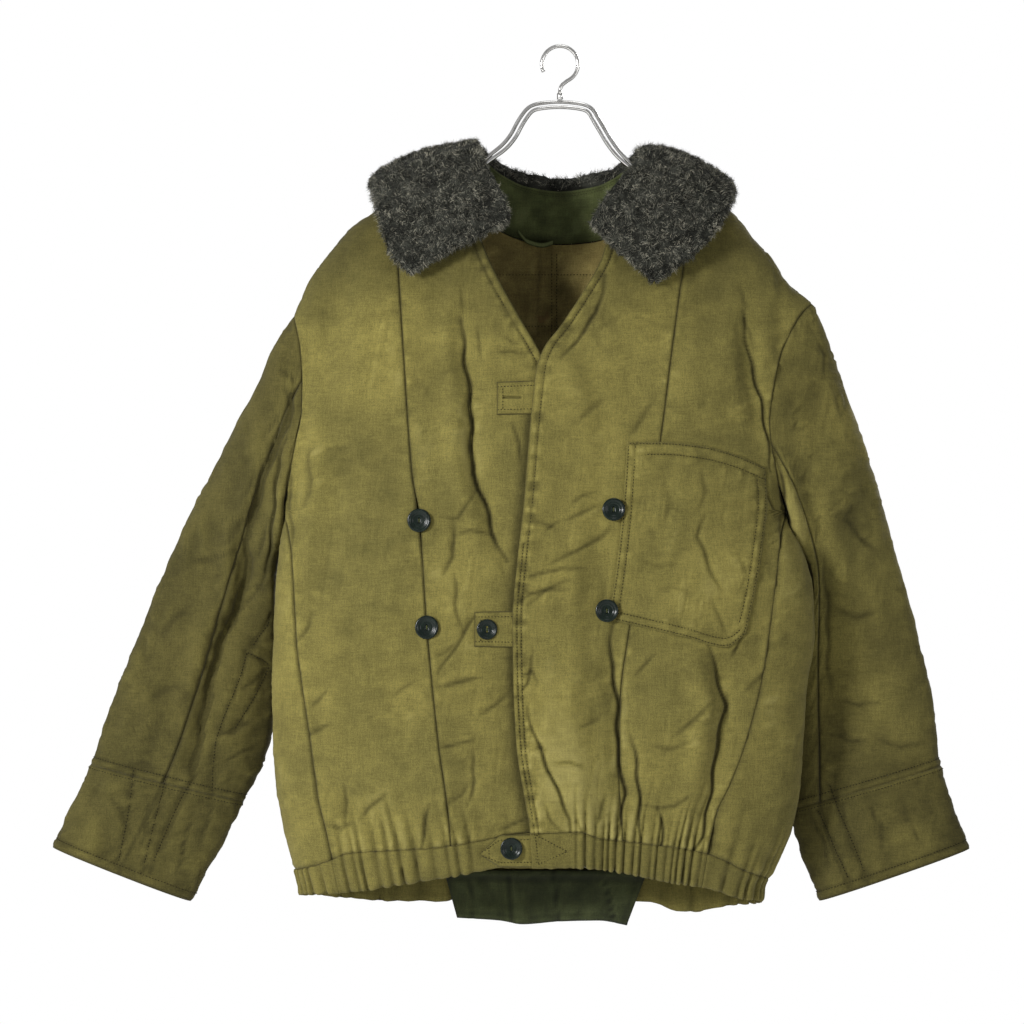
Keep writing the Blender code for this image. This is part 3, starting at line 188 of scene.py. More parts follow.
# Sleeve rings from armhole to hem: outer and inner edge, middle depth behind the hanger, half thickness
SLEEVE_LEFT = table(
    "share outer_x outer_z inner_x inner_z back half",
    (0.00, -280, -281, -290, -487, 0, 46), (0.06, -298, -307, -295, -506, 4, 47),
    (0.14, -318, -349, -298, -532, 14, 45), (0.25, -346, -403, -299, -569, 27, 41),
    (0.38, -383, -475, -297, -613, 39, 36), (0.50, -415, -540, -297, -655, 45, 33),
    (0.62, -444, -611, -300, -697, 45, 31), (0.74, -472, -682, -309, -743, 38, 29),
    (0.86, -496, -753, -333, -793, 30, 27), (1.00, -536, -840, -388, -898, 22, 25),
)
SLEEVE_RIGHT = table(
    "share outer_x outer_z inner_x inner_z back half",
    (0.00, 265, -268, 237, -487, 0, 46), (0.06, 281, -304, 248, -506, 4, 47),
    (0.14, 297, -349, 256, -532, 14, 45), (0.25, 317, -405, 260, -571, 28, 41),
    (0.38, 341, -475, 257, -617, 41, 36), (0.50, 358, -538, 252, -664, 48, 33),
    (0.62, 377, -606, 248, -710, 50, 31), (0.74, 394, -681, 245, -755, 46, 29),
    (0.86, 404, -755, 243, -802, 38, 27), (1.00, 434, -842, 273, -898, 28, 25),
)
CUFF_SHARE = 0.86
SLEEVE_BLEND = 0.30
UPPER_STEPS_LEFT = 5
UPPER_STEPS_RIGHT = 7

# Largest folds of the fronts: valleys, and lips where the cloth on one side stands over the other
FRONT_FOLDS = (
    fold(7, 11, -1, (-102, -287), (-99, -333), (-91, -365), (-90, -447), (-79, -472), (-67, -519), (-55, -538)),
    fold(6, 20, 0, (-226, -254), (-250, -317), (-260, -370)),
    fold(7, 18, 0, (-229, -408), (-238, -498), (-246, -553), (-265, -600)),
    fold(6, 14, 0, (-249, -765), (-225, -784), (-206, -801), (-191, -821), (-189, -838)),
    fold(8, 12, 0, (55, -622), (51, -652), (59, -684), (61, -738), (67, -791), (61, -815)),
    fold(
        8, 13, -1,
        (144, -513), (163, -550), (171, -600), (164, -648), (171, -686), (163, -744), (153, -791), (141, -832),
    ),
    fold(5, 12, 0, (-38, -684), (-22, -735), (-4, -779), (8, -803)),
    fold(7, 13, 0, (189, -282), (197, -331), (208, -383), (214, -427)),
    fold(5, 17, 0, (166, -412), (163, -454), (155, -496), (146, -520)),
)
BACK_FOLDS = (
    fold(7, 20, 0, (-250, -400), (-215, -470), (-200, -560), (-215, -660)),
    fold(7, 20, 0, (205, -390), (180, -470), (172, -560), (186, -650)),
    fold(6, 16, 0, (-120, -650), (-112, -740), (-128, -830)),
    fold(6, 16, 0, (70, -640), (84, -740), (74, -830)),
    fold(5, 14, 0, (-30, -700), (-22, -770), (-34, -838)),
)
SLEEVE_FOLDS_LEFT = (
    fold(9, 12, -1, (-289, -438), (-313, -485), (-330, -525), (-333, -580), (-355, -622), (-373, -685), (-383, -745)),
)
SLEEVE_FOLDS_RIGHT = (
    fold(6, 16, 0, (252, -420), (268, -500), (277, -580), (281, -650), (279, -727), (284, -790)),
)

# Pocket outline on the right front
POCKET_TOP = table("x z", (68, -415), (105, -415), (147, -419), (178, -427), (212, -441))
POCKET_BOTTOM = table("x z", (49, -598), (84, -606), (126, -616), (170, -627), (191, -613))
POCKET_LEFT = table("z x", (-598, 49), (-527, 59), (-464, 65), (-415, 68))
POCKET_RIGHT = table("z x", (-613, 191), (-574, 200), (-527, 208), (-475, 214), (-441, 212))

# Straps that lie between the fronts, as their lower and upper edges; the waist strap is pointed
STRAP_TOP = table("x low high", (-66, -387, -353), (-16, -386, -351))
STRAP_MIDDLE = table("x low high", (-89, -626, -590), (-36, -627, -589))
STRAP_WAIST = table("x low high", (-82, -842, -838), (-63, -854, -820), (-17, -854, -819))

# Quilted flap behind the hem: height of its top and foot, and its two side edges
FLAP = table("z left right", (-925, -107, 72), (-867.5, -123, 94))
FLAP_FOOT = table("x z", (-108, -918), (-63, -921), (-39, -925), (0, -922), (42, -921), (72, -926))
FLAP_ROLL = 5.0

# Collar: where it is sewn on, the rim of its cloth stand, its roll line and its outer edge
COLLAR = table(
    "neck_x neck_z back stand_x stand_y stand_z roll_x roll_y roll_z edge_x edge_y edge_z",
    (-86, -183, 0, -57, -50, -188, -51, -62, -183, -158, -66, -239),
    (-97, -160, 0, -66, -44, -160, -58, -58, -160, -177, -59, -214),
    (-106, -143, 0, -79, -32, -138, -71, -46, -134, -189, -42, -175),
    (-113, -128, 0, -90, -8, -113, -86, -20, -100, -198, -10, -139),
    (-108, -139, 1, -88, 10, -110, -88, 6, -94, -178, 44, -130),
    (-80, -178, 1, -69, 30, -127, -71, 34, -109, -126, 74, -175),
    (-40, -199, 1, -37, 46, -142, -37, 52, -124, -63, 88, -208),
    (0, -204, 1, 0, 52, -147, 0, 58, -129, 0, 92, -216),
    (40, -200, 1, 40, 46, -142, 42, 52, -124, 61, 88, -208),
    (78, -180, 1, 70, 30, -127, 74, 34, -109, 118, 74, -175),
    (103, -141, 1, 85, 10, -114, 89, 6, -99, 163, 42, -134),
    (109, -128, 0, 87, -8, -116, 94, -20, -103, 182, -12, -149),
    (101, -143, 0, 74, -36, -142, 68, -50, -130, 170, -44, -178),
    (88, -162, 0, 54, -48, -166, 44, -60, -160, 142, -62, -214),
    (68, -184, 0, 37, -52, -190, 29, -63, -187, 97, -66, -248),
)
NECK_CENTRE = (-2, 0, -130)

# Buttons: place on the fronts, height of what lies beneath each, and radius
BUTTONS = table(
    "x z over radius",
    (-146, -496, 0.0, 12.2), (-138, -606, 0.0, 12.2), (54, -485, 3.3, 11.8), (47, -589, 3.4, 11.8),
    (-76, -608, 2.0, 10.6), (-51, -834, 3.2, 11.4),
)
BUTTON_NAMES = (
    "button_left_upper",
    "button_left_lower",
    "button_right_upper",
    "button_right_lower",
    "button_centre",
    "button_waist",
)
# Hanging loop: places along it
LOOP = table("x y z", (-44, 38.9, -190), (-34, 36, -201), (-18, 35.5, -205), (-7, 38.6, -202))

# Hanger rod across the open neck, and where it turns back at each end
HANGER_NECK = table(
    "x z",
    (-118, -148), (-100, -139), (-81, -118), (-55, -96), (-41, -71), (-28, -59), (0, -56), (30, -60),
    (43, -78), (61, -107), (94, -137), (112, -147),
)
HANGER_LEFT_END = -221.0
HANGER_RIGHT_END = 188.0
HANGER_SPREAD = 9.0
HANGER_UNDER_RIDGE = 11.6
HOOK_RADIUS = 19.0
HOOK_FOOT = -54.1


def follow(source, across, value, at):
    """Smooth value of one column over another without overshoot, level beyond the ends."""
    order = np.argsort(source[across])
    x = source[across][order]
    y = source[value][order]
    step = np.diff(x)
    slope = np.diff(y) / step
    product = slope[:-1] * slope[1:]
    total = np.where(product > 0, slope[:-1] + slope[1:], 1.0)
    tangent = np.concatenate((slope[:1], np.where(product > 0, 2 * product / total, 0.0), slope[-1:]))
    at = np.clip(at, x[0], x[-1])
    cell = np.clip(np.searchsorted(x, at, side="right") - 1, 0, len(step) - 1)
    s = (at - x[cell]) / step[cell]
    start = y[cell] * (1 + 2 * s) + tangent[cell] * step[cell] * s
    end = y[cell + 1] * (3 - 2 * s) + tangent[cell + 1] * step[cell] * (s - 1)
    return start * (1 - s) ** 2 + end * s**2


def smooth(share):
    """Ease from 0 to 1."""
    share = np.clip(share, 0.0, 1.0)
    return share * share * (3 - 2 * share)


def bell(distance, width):
    """Height of a bell curve, 1 at no distance."""
    return np.exp(-((distance / width) ** 2))


def unit(vectors):
    """Vectors of length one."""
    return vectors / np.maximum(np.linalg.norm(vectors, axis=-1, keepdims=True), 1e-9)


def section(z):
    """Middle, half width and the depths before and behind the hanger at a height."""
    left = follow(TORSO, "z", "left", z)
    right = follow(TORSO, "z", "right", z)
    return (left + right) / 2, (right - left) / 2, follow(TORSO, "z", "front", z), follow(TORSO, "z", "back", z)


def superellipse(angle, power):
    """Cosine and sine of an angle pushed out to a superellipse."""
    c = np.cos(angle)
    s = np.sin(angle)
    reach = (np.abs(c) ** power + np.abs(s) ** power) ** (-1 / power)
    return c * reach, s * reach


def torso(angle, z):
    """Point on the body's outer face: angle 0 at its left side, then the front, the right and the back."""
    middle, half, front, back = section(z)
    c, s = superellipse(angle, SECTION_POWER)
    x = middle - half * c
    slope = (follow(RIDGE, "x", "z", x + 3) - follow(RIDGE, "x", "z", x - 3)) / 6
    below = np.maximum(follow(RIDGE, "x", "z", x) - z, 0) / np.sqrt(1 + slope**2)
    near = np.clip(below / SHOULDER_RADIUS, 0, 1)
    far = np.clip(below / SHOULDER_FALL, 0, 1)
    share = SHOULDER_SHARE * np.sqrt(1 - (1 - near) ** 2) + (1 - SHOULDER_SHARE) * np.sin(far * math.pi / 2)
    return np.stack(np.broadcast_arrays(x, -np.where(s > 0, front, back) * s * share, z), -1)


def torso_normal(angle, z):
    """Direction out of the body's face."""
    across = torso(angle + 0.004, z) - torso(angle - 0.004, z)
    up = torso(angle, z) - torso(angle, z - 1.0)
    outward = unit(np.cross(across, up))
    outward[..., 2] *= smooth((z - LEVEL_BELOW_Z) / 60)
    return unit(outward)


def angle_at(x, z, behind=False):
    """Angle of the point of the front, or the back, at x."""
    middle, half, _, _ = section(z)
    offset = x - middle
    share = np.clip(np.abs(offset) / half, 1e-4, 1.0)
    turn = np.arctan((share**-SECTION_POWER - 1) ** (1 / SECTION_POWER))
    angle = np.where(offset > 0, math.pi - turn, turn)
    if not behind:
        return angle
    return np.where(offset > 0, 2 * math.pi - angle, -angle)


def fold_relief(folds, x, z):
    """Height of the folds out of the smooth cloth."""
    total = np.zeros(np.broadcast(x, z).shape)
    for fold in folds:
        path = np.array(fold["path"], float)
        lengths = np.linalg.norm(np.diff(path, axis=0), axis=1)
        runs = np.concatenate(((0.0,), np.cumsum(lengths)))
        nearest = np.full(total.shape, 1e9)
        signed = np.zeros(total.shape)
        along = np.zeros(total.shape)
        for start, end, length, run in zip(path[:-1], path[1:], lengths, runs):
            way = (end - start) / length
            step = np.clip((x - start[0]) * way[0] + (z - start[1]) * way[1], 0, length)
            off_x = x - start[0] - way[0] * step
            off_z = z - start[1] - way[1] * step
            distance = np.hypot(off_x, off_z)
            closer = distance < nearest
            nearest = np.where(closer, distance, nearest)
            signed = np.where(closer, np.where(off_x * -way[1] + off_z * way[0] > 0, distance, -distance), signed)
            along = np.where(closer, (run + step) / runs[-1], along)
        profile = -bell(nearest, fold["width"])
        if fold["lip"]:
            past = (signed * fold["lip"] - 1.6 * fold["width"]) / (1.1 * fold["width"])
            profile = profile + 0.8 * np.exp(-(past**2))
        total = total + fold["depth"] * profile * np.sqrt(np.sin(np.clip(along, 0.04, 0.96) * math.pi))
    return total


def lap(x, z):
    """1 where the right front lies over the left one, easing to 0 beyond its hidden edge."""
    past = x - follow(FRONT_EDGE_LEFT, "z", "x", z)
    return 1 - smooth((past - LAP_PAST_EDGE) / (LAP_FADE - LAP_PAST_EDGE))


def under_ridge(x, z):
    """0 on the shoulder line, 1 well below it, so that folds fade out there."""
    return smooth((follow(RIDGE, "x", "z", x) - z) / 60)


def front_height(x, z, right):
    """How far a front stands out from the smooth body; its folds are shallow under the pocket."""
    relief = fold_relief(FRONT_FOLDS, x, z) * under_ridge(x, z) * smooth((z - follow(FRONT_WAIST, "x", "z", x)) / 16)
    pocket_side = smooth((x - follow(POCKET_LEFT, "z", "x", z) + 14) / 14)
    pocket_rise = smooth((z - follow(POCKET_BOTTOM, "x", "z", x) + 30) / 22)
    pocket_top = 1 - smooth((z - follow(POCKET_TOP, "x", "z", x)) / 18)
    relief = relief * (1 - 0.85 * pocket_side * pocket_rise * pocket_top)
    if right:
        return LAP_RAISE * lap(x, z) + relief * (1 - lap(x, z))
    hidden = smooth((x - follow(FRONT_EDGE_RIGHT, "z", "x", z) + 16) / 12)
    return np.minimum(relief, 0) * hidden * 0.3 + relief * (1 - hidden)


def back_height(x, z):
    """How far the back stands out from the smooth body."""
    relief = fold_relief(BACK_FOLDS, x, z) * under_ridge(x, z)
    return relief * smooth((z - follow(BACK_WAIST, "x", "z", x)) / 20)


def height_out(angle, z, right=False):
    """Relief at a place on the body, changing from front to back around its sides."""
    x = torso(angle, z)[..., 0]
    share = smooth(0.5 + np.sin(angle) / 0.5)
    return front_height(x, z, right) * share + back_height(x, z) * (1 - share)


def around(front, back, angle, x):
    """A height read from the front's table and the back's, joined at the sides."""
    share = smooth(0.5 + np.sin(angle) / 0.7)
    return follow(front, "x", "z", x) * share + follow(back, "x", "z", x) * (1 - share)


def side_edge(z, right, behind):
    """Angle of the side seam, and of the armhole above the armpit."""
    seam, hole = (SIDE_SEAM_RIGHT, ARMHOLE_RIGHT) if right else (SIDE_SEAM_LEFT, ARMHOLE_LEFT)
    below = angle_at(follow(seam, "z", "x", z), z)
    above = angle_at(follow(hole, "z", "x", z), z, behind)
    side = math.pi if right else 0.0
    return np.where(z > ARMPIT_Z + 0.01, above, np.where(z > ARMPIT_Z - 0.01, side, below))


def seam_edge(source):
    """Angle of a seam or edge of the fronts, as a function of height."""
    return lambda z: angle_at(follow(source, "z", "x", z), z)


def row_heights(foot, head):
    """Heights of a panel's rows, from the waist seam over the armpit to the shoulder."""
    low = [foot + (ARMPIT_Z - foot) * (1 - (1 - j / ROWS_BELOW) ** 1.6) for j in range(ROWS_BELOW + 1)]
    high = head - RIDGE_DROPS[0]
    rise = [ARMPIT_Z + (high - ARMPIT_Z) * share for share in SHARES_ABOVE]
    return np.stack(low + rise + [head - drop for drop in RIDGE_DROPS], -1)


def seam_inset(angle, z):
    """Angle that half a seam gap takes, more near the armpit where seams run almost level."""
    speed = np.linalg.norm(torso(angle + 0.01, z) - torso(angle - 0.01, z), axis=-1) / 0.02
    return SEAM_GAP / 2 / speed * (1 + 7.0 * bell(z - ARMPIT_Z + 5, 19))


def panel_places(start, end, share, head, starts_free=False, ends_free=False):
    """Angles and heights of a panel's grid between two edges, each inset by half a seam gap."""
    share = share[:, None]
    z = np.full((len(share), ROWS_BELOW + 1 + len(SHARES_ABOVE) + len(RIDGE_DROPS)), ARMPIT_Z + 20.0)
    for _ in range(70):
        first = start(z)
        last = end(z)
        first = first + (0 if starts_free else seam_inset(first, z))
        last = last - (0 if ends_free else seam_inset(last, z))
        angle = first + (last - first) * share
        x = torso(angle, z)[..., 0]
        foot = around(FRONT_WAIST, BACK_WAIST, angle, x) + SEAM_GAP / 2
        rows = np.diagonal(row_heights(foot, follow(head, "x", "z", x)), axis1=1, axis2=2)
        z = z + 0.6 * (rows - z)
    return angle, z


def clear_of_body(points, gap, behind=None):
    """Move points outward until they stand a gap clear of the body."""
    middle, half, front, back = section(points[..., 2])
    rear = points[..., 1] > 0 if behind is None else behind
    depth = np.where(rear, back, front)
    share = np.clip(np.abs(points[..., 1]) / depth, 0, 1)
    reach = half * (1 - share**SECTION_POWER) ** (1 / SECTION_POWER)
    inside = np.abs(points[..., 1]) < depth + gap
    side = np.where(points[..., 0] > middle, 1.0, -1.0)
    needed = middle + side * (reach + gap)
    hits = inside & ((points[..., 0] - needed) * side < 0) & (points[..., 2] < ARMPIT_Z)
    moved = points.copy()
    moved[..., 0] = np.where(hits, needed, points[..., 0])
    return moved


def armhole_outward(outward, z, right):
    """Directions at an armhole's edge, turned down near the armpit where body and sleeve fold over."""
    down = np.array((0.15 if right else -0.15, 0.0, -0.99))
    share = smooth((z - ARMPIT_Z) / 50)[..., None]
    return unit(down * (1 - share) + outward * share)


def sleeve_tube(lines, share, turn):
    """Point of the smooth sleeve at a share of its length and a turn from its outer edge over the front."""
    outer_x, outer_z, inner_x, inner_z, back, half = (
        follow(lines, "share", name, share) for name in ("outer_x", "outer_z", "inner_x", "inner_z", "back", "half")
    )
    c, s = superellipse(turn, SLEEVE_POWER)
    x = (outer_x + inner_x) / 2 + (outer_x - inner_x) / 2 * c
    z = (outer_z + inner_z) / 2 + (outer_z - inner_z) / 2 * c
    return np.stack((x, back - half * s, z), -1)


def on_front(x, z, right, offset):
    """Point a distance above the front's cloth, with the direction out of it."""
    angle = angle_at(x, z)
    outward = torso_normal(angle, z)
    return torso(angle, z) + outward * (front_height(x, z, right) + offset)[..., None], outward


def collar_line(name, at):
    """Points of one of the collar's lines at places along it."""
    row = {"row": np.arange(len(COLLAR["back"]), dtype=float)}
    columns = []
    for axis in "xyz":
        key = f"{name}_{axis}"
        columns.append(follow(row | {key: COLLAR[key]}, "row", key, at))
    return np.stack(columns, -1)


def neck_line(at):
    """Points of the neck's edge on the body's outer face, with the directions out of it."""
    row = {"row": np.arange(len(COLLAR["back"]), dtype=float), **COLLAR}
    x = follow(row, "row", "neck_x", at)
    z = follow(row, "row", "neck_z", at)
    last = len(COLLAR["back"]) - 1
    behind = (at > 3) & (at < last - 3)
    x = np.where(at >= last - 3, follow(FRONT_EDGE_RIGHT, "z", "x", z), x)
    x = np.where(at <= 3, follow(FRONT_EDGE_LEFT, "z", "x", z), x)
    z = np.where(behind, follow(BACK_TOP, "x", "z", x), z)
    angle = np.where(behind, angle_at(x, z, True), angle_at(x, z))
    outward = torso_normal(angle, z)
    points = torso(angle, z)
    crown = np.abs(z - follow(RIDGE, "x", "z", x)) < 3
    points[crown, 1] = 0.0
    outward[crown] = np.array((0.0, 0.0, 1.0))
    return points, outward


def lift_clear(points, gap):
    """Distance before or behind by which points must move to stand clear of the body."""
    x, y, z = points[..., 0], points[..., 1], points[..., 2]
    behind = y > 0
    angle = np.where(behind, angle_at(x, z, True), angle_at(x, z))
    surface = torso(angle, z)[..., 1]
    below = z < follow(RIDGE, "x", "z", x) + gap
    back = np.maximum(surface + gap - y, 0)
    front = np.minimum(surface - gap - y, 0)
    return np.where(below, np.where(behind, back, front), 0.0)


def from_photo(*places):
    """Places in the photograph's pixels as x and z in the hanger's plane."""
    return tuple(((x - HOOK_PIXEL[0]) * MM_A_PIXEL, (HOOK_PIXEL[1] - y) * MM_A_PIXEL) for x, y in places)


def crease(depth, width, *places, lip=0):
    """A narrow fold along places given in the photograph's pixels."""
    return {"path": from_photo(*places), "depth": depth, "width": width, "lip": lip}


FRONT_CREASES = (
    crease(4.5, 3.2, (463, 322), (466, 365), (471, 395), (473, 473), (485, 500), (497, 545), (507, 560)),
    crease(1.8, 3.5, (454, 520), (455, 556), (444, 572)),
    crease(1.4, 3.0, (442, 517), (460, 518), (472, 500), (476, 488)),
    crease(1.3, 3.5, (457, 535), (472, 530), (492, 533), (500, 541)),
    crease(1.5, 3.2, (456, 572), (457, 602), (463, 630)),
    crease(1.8, 3.0, (440, 670), (462, 636), (475, 616), (486, 611)),
    crease(1.1, 3.0, (430, 656), (446, 650), (458, 639)),
    crease(1.7, 3.2, (440, 684), (462, 678), (483, 674)),
    crease(1.4, 3.2, (482, 711), (497, 701), (508, 690)),
    crease(1.8, 2.6, (441, 744), (456, 740), (474, 736)),
    crease(1.6, 3.0, (500, 825), (514, 818), (526, 812)),
    crease(1.6, 3.2, (364, 814), (373, 803), (388, 790)),
    crease(1.2, 3.0, (328, 821), (342, 824), (354, 819)),
    crease(2.2, 3.0, (431, 800), (425, 826), (423, 846)),
    crease(1.6, 3.0, (473, 745), (476, 775), (468, 800)),
    crease(1.2, 3.4, (448, 800), (462, 790), (468, 778)),
    crease(1.2, 4.0, (276, 694), (288, 685), (301, 672)),
    crease(1.1, 4.0, (312, 704), (322, 697), (331, 688)),
    crease(1.0, 4.0, (282, 715), (300, 709)),
    crease(1.2, 4.0, (306, 735), (320, 728), (334, 720)),
    crease(1.0, 4.0, (397, 692), (406, 684), (416, 678)),
    crease(0.9, 3.0, (368, 716), (378, 711)),
    crease(1.4, 2.6, (499, 355), (510, 353), (521, 356)),
    crease(1.0, 2.8, (505, 340), (512, 345), (524, 345)),
    crease(1.0, 3.0, (478, 330), (481, 345), (480, 362)),
    crease(1.6, 3.0, (513, 424), (517, 440), (522, 462)),
    crease(1.3, 3.4, (346, 820), (350, 800), (345, 780)),
    crease(1.2, 4.0, (292, 470), (290, 500), (293, 530), (296, 556)),
    crease(1.3, 5.0, (310, 450), (312, 480), (308, 505)),
    crease(1.2, 4.0, (300, 640), (308, 628), (314, 612)),
    crease(2.0, 3.5, (606, 276), (596, 315), (574, 346), (561, 362)),
    crease(1.2, 3.0, (546, 531), (553, 525), (562, 520)),
    crease(1.2, 3.2, (534, 521), (546, 524), (558, 529)),
    crease(1.6, 4.0, (551, 563), (576, 550), (600, 536), (610, 527)),
    crease(1.3, 3.6, (565, 520), (580, 513), (597, 505)),
    crease(1.2, 3.6, (571, 504), (583, 496), (598, 492)),
    crease(1.5, 3.2, (516, 603), (530, 592), (548, 588), (566, 588)),
    crease(1.4, 3.4, (518, 580), (538, 573), (560, 568), (586, 568)),
    crease(1.2, 3.4, (528, 604), (545, 588), (568, 578)),
    crease(1.6, 3.0, (517, 693), (526, 680), (532, 664), (533, 650)),
    crease(1.4, 3.0, (522, 672), (531, 668), (536, 678)),
    crease(2.6, 2.6, (526, 703), (537, 738), (555, 781), (569, 812), (568, 832)),
    crease(1.1, 3.4, (555, 758), (570, 757), (584, 762)),
    crease(1.1, 3.2, (579, 723), (590, 719), (600, 714)),
    crease(3.6, 3.2, (610, 622), (609, 655), (616, 698), (616, 747), (623, 790), (619, 818), (612, 838)),
    crease(3.0, 2.8, (629, 732), (635, 761), (638, 804), (637, 840)),
    crease(2.4, 2.6, (657, 802), (661, 835), (655, 864)),
    crease(1.2, 3.2, (631, 674), (641, 665), (653, 651)),
    crease(1.4, 3.6, (640, 800), (656, 803), (673, 801), (688, 789)),
    crease(1.3, 5.0, (672, 732), (690, 716), (708, 700)),
    crease(1.2, 4.5, (655, 742), (670, 745), (686, 738)),
    crease(3.4, 3.0, (706, 640), (714, 675), (722, 703), (713, 747), (708, 790), (699, 833), (685, 858)),
    crease(1.6, 3.0, (742, 795), (738, 824), (722, 846), (716, 856)),
    crease(1.2, 3.4, (757, 813), (770, 806), (786, 804)),
    crease(1.2, 5.0, (752, 760), (766, 744), (778, 726)),
    crease(1.0, 5.0, (742, 690), (757, 676), (770, 660)),
    crease(1.4, 3.4, (722, 690), (726, 712), (720, 724)),
    crease(1.6, 3.2, (728, 655), (735, 640), (743, 624)),
    crease(1.2, 3.4, (595, 820), (600, 800), (605, 790)),
    crease(1.4, 3.0, (575, 845), (580, 825), (577, 812)),
    crease(1.2, 3.4, (545, 800), (552, 816), (562, 826)),
    crease(1.2, 3.4, (530, 745), (540, 742), (548, 746)),
    crease(1.2, 4.0, (738, 287), (744, 320), (752, 352)),
    crease(2.8, 3.2, (741, 320), (748, 358), (759, 400), (766, 440), (769, 472)),
    crease(1.8, 3.0, (762, 468), (765, 495), (776, 520)),
    crease(1.3, 3.2, (779, 485), (781, 510), (777, 560)),
    crease(1.0, 6.0, (655, 400), (640, 420), (625, 440)),
    crease(0.9, 6.0, (575, 425), (590, 410), (606, 400)),
)
POCKET_CREASES = (
    crease(2.2, 3.4, (702, 515), (695, 537), (706, 565), (717, 590)),
    crease(1.3, 4.5, (700, 470), (702, 492), (697, 512)),
    crease(1.0, 3.4, (640, 560), (660, 566), (676, 563)),
    crease(1.0, 4.0, (656, 590), (672, 586), (690, 592)),
    crease(1.2, 3.4, (735, 556), (741, 573), (738, 590)),
    crease(1.4, 3.0, (708, 600), (717, 615), (722, 632)),
    crease(0.9, 6.0, (660, 470), (668, 500), (662, 530)),
)
BACK_CREASES = (
    crease(3.4, 11, (398, 700), (404, 742), (399, 790), (407, 836)),
    crease(2.9, 10, (455, 748), (462, 790), (458, 840)),
    crease(3.9, 11, (604, 690), (612, 738), (603, 790), (610, 846)),
    crease(2.3, 10, (655, 760), (661, 800), (655, 850)),
    crease(2.6, 10, (345, 764), (351, 800), (347, 846)),
    crease(2.9, 11, (706, 752), (701, 800), (709, 852)),
    crease(3.1, 14, (312, 500), (340, 532), (372, 556), (405, 570)),
    crease(2.3, 14, (306, 560), (334, 578), (366, 588)),
    crease(3.1, 14, (764, 512), (738, 540), (704, 560), (672, 572)),
    crease(2.3, 14, (770, 574), (742, 590), (712, 598)),
    crease(2.1, 13, (428, 620), (460, 630), (497, 626)),
    crease(2.1, 13, (566, 640), (600, 652), (636, 646)),
    crease(1.8, 14, (470, 300), (520, 312), (590, 310), (640, 298)),
    crease(2.6, 13, (360, 330), (366, 380), (360, 430)),
    crease(2.6, 13, (712, 330), (706, 384), (712, 436)),
    crease(1.7, 11, (486, 700), (506, 712), (528, 708)),
)
SLEEVE_CREASES_LEFT = (
    crease(6.0, 6.0, (294, 396), (287, 425), (279, 441), (267, 468), (254, 512), (248, 536)),
    crease(3.5, 3.2, (289, 438), (280, 458), (276, 498), (271, 546), (267, 572)),
    crease(6.5, 4.4, (245, 541), (249, 560), (240, 600), (220, 643), (209, 682), (199, 741), (191, 782)),
    crease(1.4, 3.0, (240, 613), (257, 590), (270, 566)),
    crease(1.4, 3.0, (186, 563), (210, 559), (236, 552)),
    crease(1.5, 3.2, (279, 369), (290, 376), (301, 383)),
    crease(1.3, 3.2, (283, 385), (291, 398), (296, 412)),
    crease(1.4, 4.0, (264, 440), (272, 428), (280, 412)),
    crease(1.2, 4.0, (239, 500), (250, 486), (258, 470)),
    crease(1.2, 4.0, (222, 545), (236, 532), (246, 518)),
    crease(1.2, 5.0, (150, 700), (165, 690), (182, 688)),
    crease(1.0, 6.0, (160, 640), (172, 620), (188, 606)),
    crease(1.4, 3.4, (258, 558), (262, 540), (270, 520)),
    crease(1.2, 3.4, (244, 590), (256, 586), (266, 590)),
    crease(1.6, 3.6, (215, 735), (232, 732), (250, 722)),
    crease(1.4, 3.4, (228, 760), (240, 752), (258, 748)),
    crease(1.4, 3.4, (240, 690), (252, 684), (262, 672)),
    crease(1.4, 4.0, (110, 800), (122, 812), (132, 834)),
    crease(1.4, 4.0, (150, 800), (146, 826), (140, 846)),
    crease(1.6, 3.6, (182, 790), (172, 820), (160, 850)),
    crease(1.4, 3.4, (190, 812), (186, 840), (176, 872)),
    crease(1.4, 3.4, (214, 800), (206, 822), (200, 850)),
    crease(1.0, 6.0, (120, 770), (140, 764), (160, 770)),
)
SLEEVE_CREASES_RIGHT = (
    crease(3.6, 4.0, (770, 446), (783, 496), (802, 546), (812, 590)),
    crease(1.6, 3.4, (823, 560), (829, 610), (829, 660), (832, 700)),
    crease(1.2, 5.0, (850, 520), (862, 540), (880, 552)),
    crease(1.2, 5.0, (838, 610), (856, 618), (880, 612)),
    crease(1.2, 4.0, (840, 700), (860, 706), (884, 702)),
    crease(1.2, 4.0, (836, 734), (850, 742), (868, 742)),
    crease(1.3, 4.0, (880, 740), (900, 748), (925, 744)),
    crease(1.0, 6.0, (870, 430), (880, 460), (884, 500)),
    crease(1.2, 4.0, (812, 330), (822, 352), (826, 380)),
    crease(1.2, 3.4, (835, 776), (838, 800), (848, 830), (860, 862)),
    crease(1.2, 3.4, (900, 800), (912, 826), (922, 846)),
    crease(1.2, 3.4, (868, 800), (880, 826), (884, 852)),
    crease(1.2, 3.4, (810, 812), (822, 838), (830, 866)),
)

# Stitched lines on the fronts: edge strips, pocket and the triangle on the band
STITCH_PITCH = 3.4
STITCH_LENGTH = 2.3
STITCH_RADIUS = 0.5


def table_line(source, along, across, start, end, offset=0.0, step=4.0):
    """Points of a table's line, moved sideways."""
    at = np.linspace(start, end, max(2, int(abs(end - start) / step)))
    other = follow(source, along, across, at) + offset
    return np.stack((other, at) if along == "z" else (at, other), -1)


